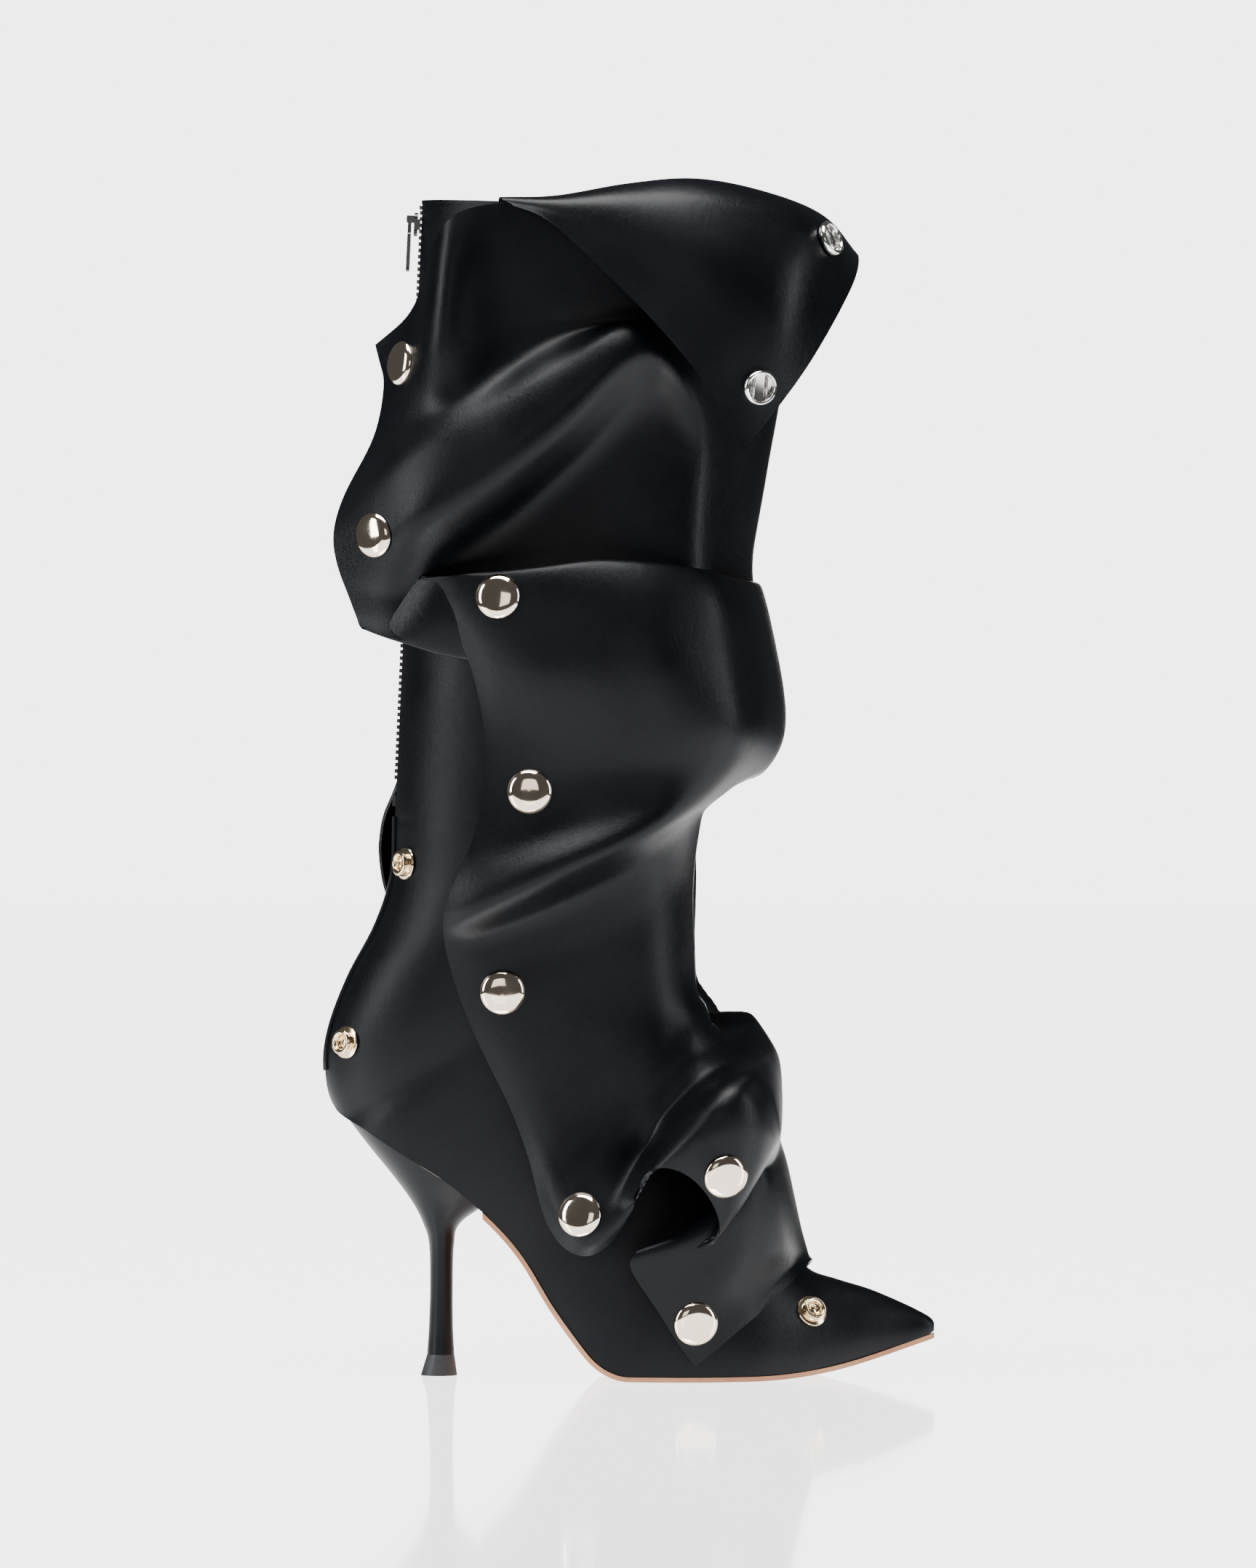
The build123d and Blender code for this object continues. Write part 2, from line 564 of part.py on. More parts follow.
def panel_strip(edges, side=-1, rise=0.0, thickness=PANEL, round_front=False, trim=0.0):
    """Curved sheet between its rear and front edges, given at several heights."""
    with BuildPart() as strip:
        for height, rear_x, front_x in edges:
            start = oval_angle(height, rear_x + max(trim, 0))
            stop = -start if round_front else oval_angle(height, front_x + min(trim, 0))
            steps = 16 if round_front else 6
            angles = [start + (stop - start) * k / steps for k in range(steps + 1)]
            outside = [oval_point(height, side * angle, rise) for angle in angles]
            inside = [oval_point(height, side * angle, rise - thickness) for angle in angles]
            with BuildSketch(Plane.XY.offset(height)):
                with BuildLine():
                    Spline(*outside)
                    Line(outside[-1], inside[-1])
                    Spline(*reversed(inside))
                    Line(inside[0], outside[0])
                make_face()
        loft(ruled=True)
    return strip


flap_lower = panel_strip(FLAP_LOWER_EDGES, trim=-FLAP_GAP)
flap_upper = panel_strip(FLAP_UPPER_EDGES, trim=-FLAP_GAP)
flap_medial = panel_strip(FLAP_MEDIAL_EDGES, side=1, trim=-FLAP_GAP)
save(flap_lower, "panel_flap_lateral_lower")
save(flap_upper, "panel_flap_lateral_upper")
save(flap_medial, "panel_flap_medial")

front_heights = [43.0] + [row[0] for row in PANEL_SECTIONS if 43 < row[0] < 431] + [431.0]
front_edges = [(height, FLAP_X, 0) for height in front_heights]
panel_front = panel_strip(front_edges, round_front=True, trim=FLAP_GAP)
with BuildPart() as panel_tail:
    for side in (-1, 1):
        add(panel_strip(FRONT_BOTTOM_EDGES, side=side, trim=FLAP_GAP).part)
with BuildPart() as panel_top_edge:
    for side in (-1, 1):
        add(panel_strip(FRONT_TOP_EDGES, side=side, trim=FLAP_GAP).part)
save(panel_front, "panel_front")
save(panel_tail, "panel_tail")
save(panel_top_edge, "panel_top_edge")

COLLAR_THICK = 1.3
collar_rear = panel_strip(COLLAR_REAR_EDGES, rise=COLLAR_RISE,
                          thickness=COLLAR_THICK, trim=-FLAP_GAP)
with BuildPart() as collar_front:
    add(panel_strip(COLLAR_LOWER_EDGES, rise=COLLAR_RISE, thickness=COLLAR_THICK,
                    trim=FLAP_GAP).part)
    add(panel_strip(COLLAR_UPPER_EDGES, rise=COLLAR_RISE, thickness=COLLAR_THICK,
                    trim=FLAP_GAP).part)
save(collar_rear, "collar_rear")
save(collar_front, "collar_front")


# ---------------------------------------------------------------- snap hardware
def panel_seat(x, height, side=-1, rise=0.0):
    """Plane on the panel's outer surface, local z pointing away from the leg."""
    angle = side * oval_angle(height, x)
    step = 0.5
    here = Vector(*oval_point(height, angle, rise), height)
    above = Vector(*oval_point(height + step, angle, rise), height + step)
    along = Vector(*oval_point(height, angle + 0.01, rise), height)
    normal = (along - here).cross(above - here).normalized()
    if normal.Y * side < 0:
        normal = -normal
    return Plane(origin=here, z_dir=normal)


def boot_seat(leather, x, height, side=-1):
    """Plane on the outer surface of a leather piece at a place in side view."""
    axis = Axis((x, side * 150, height), (0, -side, 0))
    hits = leather.part.find_intersection_points(axis)
    point, normal = min(hits, key=lambda hit: (hit[0] - axis.position).length)
    if normal.Y * side < 0:
        normal = -normal
    return Plane(origin=point, z_dir=normal)


with BuildPart() as cap:
    with BuildSketch(Plane.XZ):
        with BuildLine():
            ThreePointArc((0, 0.3 + CAP_HEIGHT), (5.1, 0.3 + 0.68 * CAP_HEIGHT), (CAP_R, 0.8))
            Line((CAP_R, 0.8), (CAP_R - 0.2, 0.3))
            Line((CAP_R - 0.2, 0.3), (CAP_R - 1.1, 0.3))
            ThreePointArc((CAP_R - 1.1, 0.3), (4.6, 0.68 * CAP_HEIGHT - 0.4),
                          (POST_R, CAP_HEIGHT - 0.55))
            Polyline((POST_R, CAP_HEIGHT - 0.55), (POST_R, -PANEL - 0.5), (0, -PANEL - 0.5),
                     (0, 0.3 + CAP_HEIGHT))
        make_face()
    revolve(axis=Axis.Z)

with BuildPart() as socket:
    with BuildSketch(Plane.XZ):
        with Locations((0, -PANEL - 0.5)):
            Polygon((0, 0), (SOCKET_R - 0.6, 0), (SOCKET_R, -0.6),
                    (SOCKET_R, -SOCKET_HEIGHT + 0.5), (SOCKET_R - 0.5, -SOCKET_HEIGHT),
                    (SOCKET_R - 1.3, -SOCKET_HEIGHT), (SOCKET_R - 1.7, -SOCKET_HEIGHT + 0.4),
                    (SOCKET_R - 1.7, -0.8), (0, -0.8), align=None)
    revolve(axis=Axis.Z)

with BuildPart() as spring:
    for side in (-1, 1):
        with Locations(Location((side * 2.9, 0, -PANEL - SOCKET_HEIGHT + 0.6), (90, 0, 0))):
            Cylinder(0.4, 7.6)

with BuildPart() as stud:
    with BuildSketch(Plane.XZ):
        Polygon((0, -LEATHER - 0.4), (POST_R, -LEATHER - 0.4), (POST_R, 0.2),
                (STUD_FLANGE_R, 0.2), (STUD_FLANGE_R, 0.6), (STUD_FLANGE_R - 0.6, 1.0),
                (STUD_R - 0.7, 1.3), (STUD_R - 0.4, 2.0), (STUD_R, 2.6),
                (STUD_R - 0.3, 3.2), (STUD_R - 1.0, 3.6), (2.6, 3.4), (1.8, 2.8), (1.8, 1.0),
                (0, 1.0), align=None)
    revolve(axis=Axis.Z)


def snaps(piece, seats):
    """The same piece of snap hardware at several seats."""
    with BuildPart() as group:
        with Locations(*seats):
            add(piece.part)
    return group


def turned(seat):
    """Seat facing the other way through the panel, for the collar's reverse side."""
    shifted = seat.offset(-COLLAR_THICK)
    return Plane(origin=shifted.origin, x_dir=shifted.x_dir, z_dir=-shifted.z_dir)


upper_seats = [panel_seat(x, z) for x, z in FLAP_UPPER_SNAPS]
lower_seats = [panel_seat(x, z) for x, z in FLAP_LOWER_SNAPS]
front_seats = [panel_seat(x, z) for x, z in FRONT_SNAPS]
medial_seats = [panel_seat(x, z, side=1) for x, z in MEDIAL_SNAPS]
collar_seats = [turned(panel_seat(x, z, rise=COLLAR_RISE)) for x, z in COLLAR_SNAPS]
save(snaps(cap, upper_seats + lower_seats), "flap_lateral_caps")
save(snaps(socket, upper_seats + lower_seats), "flap_lateral_sockets")
save(snaps(cap, medial_seats), "flap_medial_caps")
save(snaps(socket, medial_seats), "flap_medial_sockets")
save(snaps(cap, front_seats), "front_caps")
save(snaps(socket, front_seats), "front_sockets")
save(snaps(cap, collar_seats), "collar_caps")
save(snaps(socket, collar_seats), "collar_sockets")
save(snaps(spring, collar_seats), "collar_socket_springs")

vamp_studs = [boot_seat(vamp, x, z) for x, z in VAMP_STUDS]
quarter_studs = [boot_seat(quarter_lateral, x, z) for x, z in QUARTER_STUDS]
shaft_studs = [boot_seat(shaft_lateral, x, z) for x, z in SHAFT_STUDS]
medial_studs = [boot_seat(shaft_medial, 5, 315, side=1), boot_seat(quarter_medial, 14, 160, side=1)]
save(snaps(stud, vamp_studs + quarter_studs + shaft_studs), "boot_studs_lateral")
save(snaps(stud, medial_studs), "boot_studs_medial")
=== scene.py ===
"""Looks of a tall stiletto boot with a draped, snap-fastened leather panel."""

import math

import bpy
import numpy as np
from mathutils import Matrix, Vector
from mathutils.bvhtree import BVHTree


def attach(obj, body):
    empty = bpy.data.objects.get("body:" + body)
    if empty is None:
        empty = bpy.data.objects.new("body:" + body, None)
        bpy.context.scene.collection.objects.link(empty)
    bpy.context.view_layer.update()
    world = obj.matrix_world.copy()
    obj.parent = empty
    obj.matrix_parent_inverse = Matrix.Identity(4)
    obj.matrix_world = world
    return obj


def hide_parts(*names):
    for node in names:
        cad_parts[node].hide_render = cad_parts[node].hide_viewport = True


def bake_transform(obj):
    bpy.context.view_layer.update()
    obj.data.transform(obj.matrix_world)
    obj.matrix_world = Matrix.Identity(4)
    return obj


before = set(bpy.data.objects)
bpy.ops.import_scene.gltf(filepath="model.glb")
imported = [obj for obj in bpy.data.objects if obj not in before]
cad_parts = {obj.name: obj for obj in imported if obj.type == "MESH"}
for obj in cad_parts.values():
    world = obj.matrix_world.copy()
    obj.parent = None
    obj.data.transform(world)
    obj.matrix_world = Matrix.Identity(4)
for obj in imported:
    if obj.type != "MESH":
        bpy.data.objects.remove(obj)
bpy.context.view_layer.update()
MM = 0.001
TINY = 1e-12

# ------------------------------------------------------------------ shapes, in millimetres
# Stations of the leg and foot, from the rim to the toe: front x, front z, back x, back z,
# half width, pinch of the front and half width at the back end
STATIONS = [
    (131.0, 441.0, -6.5, 448.0, 47.0, 0.0, 0.0),
    (124.8, 395.0, -8.9, 395.0, 46.0, 0.0, 0.0),
    (116.0, 340.0, -11.4, 340.0, 44.0, 0.0, 0.0),
    (106.0, 280.0, -14.1, 280.0, 42.0, 0.0, 0.0),
    (100.0, 238.0, -16.0, 238.0, 40.0, 0.0, 0.0),
    (98.0, 214.0, -17.1, 214.0, 39.0, 0.0, 0.0),
    (97.2, 200.0, -18.0, 192.0, 38.0, 0.0, 0.0),
    (96.7, 192.0, -24.0, 173.0, 37.0, 0.0, 0.0),
    (96.4, 187.0, -34.5, 153.0, 36.0, 0.02, 0.0),
    (96.2, 183.0, -42.0, 133.0, 35.0, 0.04, 0.0),
    (96.1, 180.0, -43.6, 117.0, 34.5, 0.06, 0.0),
    (96.0, 177.0, -40.0, 102.8, 34.0, 0.08, 4.0),
    (95.9, 174.0, -28.0, 95.0, 33.7, 0.10, 19.0),
    (95.9, 170.0, -14.0, 86.0, 33.5, 0.12, 25.0),
    (95.9, 166.0, 3.3, 75.3, 33.0, 0.14, 28.0),
    (96.2, 158.0, 18.8, 62.3, 33.0, 0.16, 28.5),
    (96.6, 149.0, 33.0, 46.1, 33.5, 0.18, 28.5),
    (97.5, 138.0, 43.0, 29.7, 35.0, 0.20, 30.0),
    (100.0, 124.0, 54.2, 13.9, 37.0, 0.22, 33.0),
    (104.5, 108.0, 67.3, 2.9, 39.0, 0.24, 36.5),
    (110.0, 95.0, 80.0, 1.8, 40.5, 0.25, 38.5),
    (117.0, 80.0, 96.0, 1.8, 41.0, 0.25, 39.5),
    (125.0, 64.0, 110.0, 1.8, 39.0, 0.25, 37.5),
    (132.0, 52.0, 122.0, 1.9, 35.5, 0.25, 34.0),
    (141.5, 41.0, 137.0, 2.7, 28.0, 0.22, 26.5),
    (152.0, 37.0, 150.0, 4.8, 21.0, 0.20, 19.5),
    (165.0, 33.0, 164.0, 8.2, 14.0, 0.15, 12.5),
    (178.0, 27.5, 178.0, 11.4, 7.5, 0.1, 6.5),
    (186.0, 23.5, 186.0, 13.8, 4.3, 0.0, 3.8),
    (188.8, 21.5, 188.8, 14.9, 2.7, 0.0, 2.5),
    (189.7, 20.0, 189.7, 15.9, 1.3, 0.0, 1.2),
]
SHAFT_END, STRIP_END, QUARTER_END, LAST = 5, 10, 16, len(STATIONS) - 1
STATION_STEPS = 8        # rows of the surface from one station to the next
CLOSED_END = 0.5         # stations with a narrower back end are closed at the back
FULL_END = 5.0           # and from this end width on they are fully open
SLIT = 5.0               # half the gap that the zip fills
UPPER_THICK = 1.1
STRIP_THICK = 0.8

# Heel sections: height, back x, front x, half width
HEEL = [
    (8.0, -4.6, 5.9, 6.0), (18.0, -3.9, 5.4, 5.4), (34.0, -3.4, 5.3, 5.6), (50.0, -3.8, 5.8, 7.0),
    (58.0, -6.0, 8.0, 9.5), (66.0, -10.0, 18.5, 13.5), (76.0, -17.2, 30.0, 19.5),
    (90.0, -28.5, 42.0, 26.5), (108.0, -42.0, 58.0, 32.0),
]
HEEL_LOW, HEEL_HIGH = 8.0, 107.0
HEEL_SIDES, HEEL_STEPS = 72, 60
# Where the heel's cover meets the upper: x, height
HEEL_SEAT = [(-60.0, 115.0), (-41.0, 106.0), (-28.0, 98.4), (-14.0, 89.4), (3.3, 78.8),
             (18.8, 65.4), (33.0, 49.0), (60.0, 7.0)]

PANEL_THICK = 1.3
PANEL_GAP = 2.4          # the panel's outer face stays this far off the boot
# The draped panel's net. Each row runs from the free edge on the outer side round to the
# front of the leg, as (x, height, distance out from the middle of the boot).
PANEL_ROWS = [
    # under the turned-over top
    [(-22.8, 393.8, 24), (-7, 408, 40), (3.5, 439, 55), (24, 446.5, 55), (50, 446, 54),
     (82, 447, 52), (115, 445, 36), (140, 436, 0)],
    [(-21, 387, 26), (-8, 396, 43), (3.2, 420, 59), (22, 429, 55), (50, 430, 54), (82, 430, 52),
     (115, 428, 36), (138, 420, 0)],
    [(-19.2, 378, 29), (-9, 383, 45), (3.0, 396, 60), (20, 406, 54), (48, 410, 53), (80, 410, 51),
     (112, 406, 36), (134, 400, 0)],
    # valley above the slanting fold
    [(-23, 358, 33), (-9, 364, 48), (7, 374, 56), (26, 385, 53), (48, 396, 52), (80, 400, 51),
     (110, 385, 36), (131, 380, 0)],
    # crest of the slanting fold
    [(-34, 337, 36), (-17, 346, 54), (2, 356, 63), (24, 369, 65), (47, 384, 65), (78, 402, 61),
     (108, 380, 37), (129, 368, 0)],
    [(-38.5, 322, 38), (-22, 323, 53), (-3, 331, 66), (21, 345, 69), (46, 363, 69), (80, 392, 65),
     (107, 362, 37), (126, 352, 0)],
    # under the slanting fold
    [(-37, 310, 39), (-18, 307, 52), (1, 320, 59), (25, 335.5, 60), (50, 355, 59), (83, 383, 57),
     (106, 350, 37), (124, 340, 0)],
    [(-33, 299, 40), (-14, 298, 50), (5, 311, 50), (29, 327, 49), (54, 346, 48), (84, 365, 48),
     (105, 335, 37), (121.5, 326, 0)],
    [(-29.6, 290, 41), (-11, 288, 51), (12, 292, 49), (31, 300, 48), (55, 310, 48), (82, 314, 46),
     (103, 312, 38), (119, 310, 0)],
    # lower fold of the pleat, then its upper fold in front of it
    [(-27.5, 285.4, 44), (-11.7, 279.7, 53), (13.8, 272.8, 55), (31, 277, 54), (56, 285, 53),
     (84, 290, 49), (107, 292, 36), (121, 294, 0)],
    [(-18.5, 295, 48), (-4, 291, 57), (16, 289, 59), (35, 292, 58), (59, 297, 57), (85, 299, 53),
     (109, 299, 39), (122, 299, 0)],
    [(-7.2, 306.3, 52), (4, 306.6, 58), (20, 307, 61), (39, 309, 62), (60.2, 311.7, 60),
     (84, 310.2, 56), (109, 306.3, 41), (122.5, 303, 0)],
    [(0.8, 298, 55), (12, 296, 61), (27, 296.5, 65), (44, 299, 66), (64, 302, 65), (87, 301, 61),
     (112, 297, 45), (125.5, 293, 0)],
    [(8.6, 284, 56), (19, 282, 62), (33, 281, 66), (49, 284, 67), (67, 287, 67), (89, 287, 64),
     (115, 284, 46), (128.5, 279, 0)],
    [(14.4, 270, 56), (24, 268, 61), (38, 266, 65), (53, 267, 66), (71, 269, 66), (92, 270, 66),
     (118, 267, 47), (131.5, 263, 0)],
    [(18.6, 248, 54), (29, 246, 57), (43, 244, 59), (59, 244, 60), (76, 246, 62), (97, 250, 63),
     (120, 249, 46), (132.5, 247, 0)],
    [(18.7, 227, 53), (29, 225, 55), (42, 225, 56), (57, 227, 57), (75, 231, 59), (95, 236, 59),
     (117, 237, 43), (128, 236, 0)],
    # the slanting lip under the middle bulge
    [(13.8, 205.4, 53), (27, 206, 56), (42, 209, 58), (58, 213, 60), (77, 219, 61), (95, 226, 57),
     (111, 229, 40), (121, 229, 0)],
    [(7.3, 190, 55), (20, 190, 61), (38, 195, 65), (55, 201, 66), (75, 209, 64), (91, 216.5, 57),
     (104, 222, 38), (112, 224, 0)],
    [(3.5, 179, 54), (15, 179, 59), (34, 185.5, 62), (52, 193.5, 62), (72, 202.5, 60),
     (88, 210.5, 52), (99, 217.5, 34), (106, 220, 0)],
    [(2.8, 170, 50), (14, 170, 50), (33, 177, 50), (52, 185, 50), (71, 194, 49), (87, 202, 43),
     (97, 210, 28), (103, 214, 0)],
    # smooth stretch over the ankle
    [(4.8, 160, 47), (16, 160, 48), (33, 164, 47.5), (52, 170, 47), (70, 177, 45), (85, 184, 38),
     (95, 190, 24), (101.5, 193, 0)],
    [(9.3, 145.5, 45), (20, 147, 47), (35, 150, 47), (53, 155, 46), (70, 160, 44), (84, 165, 38),
     (95, 168, 24), (101.2, 170, 0)],
    [(18.3, 124.6, 43), (28, 126, 46), (42, 130, 46), (57, 136, 45), (72, 141, 43), (85, 146, 38),
     (95, 151, 25), (101.5, 153, 0)],
    [(28.7, 103.6, 42), (37, 106, 45), (48, 111, 45), (61, 118, 44), (74, 125, 43), (86, 132, 40),
     (98, 141, 28), (106.5, 148, 0)],
    [(36.2, 82.6, 41), (43, 86, 45), (52, 92, 45), (62, 100, 44), (73, 109, 43), (85, 120, 42),
     (101, 134, 32), (113, 143, 0)],
    # first lobe of the ruffle and the pocket beside it
    [(40.9, 64.7, 43), (46, 68, 48), (53, 76, 49), (62, 87, 47), (72, 98, 44), (84, 111, 42),
     (103, 128, 34), (118, 139, 0)],
    [(47.5, 53.2, 48), (53, 58, 53), (60, 68, 53), (67, 80, 48), (75, 92, 43), (86, 106, 42),
     (105, 124, 36), (121, 135.5, 0)],
    [(57, 49.2, 51), (61, 56, 55), (66, 66, 54), (72, 78, 48), (79, 90, 43), (88, 103, 43),
     (107, 121, 38), (123.5, 132, 0)],
    [(66.2, 55.7, 52), (69.5, 63, 55), (73, 72, 54), (77, 82, 49), (83, 92, 45), (92, 104, 47),
     (109, 119, 40), (125.5, 129, 0)],
    # the ruffle's ridge
    [(73.7, 67.7, 56), (77, 73.5, 58), (81, 81, 58), (85.5, 90, 56), (91.5, 99, 55),
     (99.5, 109, 55), (114, 119.5, 44), (127.5, 126, 0)],
    [(79.7, 79.4, 62), (84, 84.5, 64), (88.5, 91, 64), (93.5, 98, 63), (99.5, 106, 62),
     (107, 114, 59), (119, 120.5, 46), (129, 123, 0)],
    [(87.1, 83.4, 67), (92, 88.5, 69), (97, 94.5, 70), (102, 101, 69), (108, 107.5, 68),
     (114.5, 113.5, 63), (123, 118, 48), (130, 119, 0)],
    [(96.4, 79.7, 67), (101.5, 85, 69), (106, 91, 69), (111, 97, 69), (116, 103, 67),
     (121, 107.5, 61), (127, 111, 45), (130.5, 112, 0)],
    [(103.8, 70.7, 63), (109, 76.5, 65), (113.5, 83, 65), (117.5, 89, 64), (121.5, 95, 62),
     (125, 99, 56), (129, 102.5, 41), (130.5, 104, 0)],
    [(106.8, 60.5, 58), (112, 67, 59), (116.5, 74, 58), (120.5, 81, 57), (124, 87, 54),
     (127, 92, 49), (129.5, 95.5, 36), (130, 97, 0)],
    # tucked under the ruffle and out again
    [(102.4, 53.0, 54), (108, 60, 53), (113.5, 67, 51), (118, 74, 49), (122, 80.5, 47),
     (125.5, 86.5, 43), (128.5, 90.5, 32), (129.6, 92, 0)],
    [(88, 50.8, 52), (97, 56, 50), (105, 63, 48), (112, 69.5, 46), (118, 76, 44), (123, 82, 41),
     (127.5, 87, 31), (130, 89, 0)],
    [(79.0, 51.2, 53), (87.5, 54.5, 52), (96, 59, 50), (105, 65, 48), (113, 71.5, 46),
     (120, 78, 42), (126.5, 83, 32), (131.5, 85, 0)],
    [(73.0, 47.2, 54), (83, 50.5, 54), (94, 54.5, 53), (104, 60, 51), (113, 66, 48),
     (121, 72, 43), (128, 76.5, 33), (133.2, 78.5, 0)],
    [(75.6, 40.0, 52), (86, 43, 52), (97, 47, 51), (107, 52, 49), (116, 57, 45.5), (124, 61.5, 40),
     (131, 65, 29), (135.8, 66, 0)],
    [(84, 27.5, 49), (93, 32, 49), (102, 37, 48), (111, 42, 45.5), (119.5, 47, 41), (127, 51, 34),
     (133, 54, 24), (138, 55.5, 0)],
    [(90.6, 16.5, 46), (98.5, 22, 46), (106, 27.5, 44), (114, 33, 40.5), (122, 38.5, 34.5),
     (129, 43, 27), (135, 46.5, 17), (140, 48.5, 0)],
    [(97.6, 6.5, 44), (104.5, 12, 43.5), (111.5, 18, 41), (119, 24, 37), (126, 30, 30),
     (132, 35, 22), (137, 39.5, 12), (141.5, 42.5, 0)],
]
# Height of each row's free edge on the inner side
INNER_HEIGHTS = [
    438, 422, 402, 384, 368, 352, 338, 325, 312, 290, 296, 302, 290, 276, 260, 246, 234, 222, 214,
    206, 198, 182, 164, 150, 140, 132, 125, 119, 114, 109, 104, 99, 94, 89, 85, 81, 77, 73, 69,
    62, 52, 42, 32, 23,
]
# Free edge on the inner side: height, x
INNER_EDGE = [
    (23.0, 90.0), (38.0, 70.0), (55.0, 54.0), (80.0, 40.0), (103.0, 29.0), (124.0, 16.0),
    (145.0, 4.0), (165.0, -8.0), (181.0, -19.0), (193.0, -22.5), (211.0, -22.0), (225.0, -16.0),
    (245.0, -9.0), (280.0, -8.0), (320.0, -10.0), (360.0, -12.0), (400.0, -10.0), (428.0, -4.0),
    (438.0, 8.0),
]
# Panel round the inner side: height, half width
INNER_HALF = [(20.0, 47.0), (60.0, 45.0), (110.0, 43.0), (150.0, 45.0), (200.0, 48.0),
              (250.0, 51.0), (300.0, 52.0), (350.0, 51.0), (400.0, 54.0), (445.0, 56.0)]

# The turned-over top. Each row runs from the fold to the free edge,
# as (x, height, distance out from the middle of the boot)
COLLAR_COLUMNS = [
    [(23.5, 446.8, 56), (24.0, 447.4, 58), (25.0, 447.2, 60), (26.5, 446.3, 61), (28.0, 445.4, 62)],
    [(44, 445, 54), (45, 447.9, 59), (44.5, 446.5, 65), (44, 442.5, 67), (43, 438.6, 68)],
    [(71, 449, 53), (72, 452.6, 58), (71, 447, 68), (69, 434, 72), (64, 420, 71)],
    [(98, 450, 50), (98, 454.6, 56), (97, 446, 68), (92, 426, 75), (81.5, 402.3, 73)],
    [(123, 446, 43), (124, 449.8, 50), (122, 440, 63), (113, 415, 75), (97, 384, 74)],
    [(143, 438, 28), (146, 441.4, 36), (143, 431, 54), (130, 404, 70), (108.1, 367.1, 71)],
    [(155, 428, 2), (159.2, 427, 16), (155.5, 414, 36), (138.5, 384, 58), (115.8, 353.2, 68)],
]

# Snap centres in side view: x, height
LATERAL_CAPS = [(-13.8, 386.6), (-23.7, 321.3), (23.4, 298.3), (35.3, 224.6), (24.9, 148.5),
                (54.2, 64.7)]
FRONT_CAPS = [(109.3, 79.7), (98.2, 22.8)]
COLLAR_SNAPS = [(121.6, 377.0), (148.0, 433.0)]
INNER_CAPS = [(8.0, 395.0), (5.0, 315.0), (6.0, 240.0), (14.0, 160.0), (48.0, 85.0)]
OUTER_STUDS = [(142.5, 25.8), (98.2, 22.8), (-35.0, 128.2), (-12.4, 196.4), (24.9, 148.5),
               (23.4, 298.3), (35.3, 224.6)]
INNER_STUDS = [(5.0, 315.0), (14.0, 160.0)]


# ------------------------------------------------------------------ geometry helpers
def smooth_rows(points, per):
    """Catmull-Rom curve through points along their first axis."""
    points = np.asarray(points, float)
    first = 2 * points[:1] - points[1:2]
    last = 2 * points[-1:] - points[-2:-1]
    padded = np.concatenate([first, points, last])
    out = []
    for number in range(len(points) - 1):
        a, b, c, d = padded[number: number + 4]
        for step in range(per):
            t = step / per
            out.append(0.5 * (2 * b + (c - a) * t + (2 * a - 5 * b + 4 * c - d) * t * t
                              + (3 * b - a - 3 * c + d) * t ** 3))
    out.append(points[-1])
    return np.array(out)


def smooth_net(net, row_steps, column_steps):
    """Smooth surface through a net of control points."""
    tall = smooth_rows(net, row_steps)
    wide = smooth_rows(np.swapaxes(tall, 0, 1), column_steps)
    return np.swapaxes(wide, 0, 1)


def mesh_object(name, vertices, faces):
    """Smooth-shaded object from vertices in metres."""
    mesh = bpy.data.meshes.new(name)
    mesh.from_pydata(vertices, [], faces)
    mesh.shade_smooth()
    made = bpy.data.objects.new(name, mesh)
    bpy.context.scene.collection.objects.link(made)
    return made


def grid_object(name, grid):
    """Smooth-shaded object from a grid of points in millimetres."""
    rows, columns = grid.shape[:2]
    faces = []
    for r in range(rows - 1):
        for c in range(columns - 1):
            here = r * columns + c
            faces.append((here, here + 1, here + columns + 1, here + columns))
    return mesh_object(name, (grid.reshape(-1, 3) * MM).tolist(), faces)


def grid_normals(grid, outward):
    """Unit normals at a grid's points, on the side that outward (1 or -1) says."""
    down = np.gradient(grid, axis=0)
    along = np.gradient(grid, axis=1)
    normals = np.cross(along, down) * outward
    return normals / (np.linalg.norm(normals, axis=2, keepdims=True) + TINY)


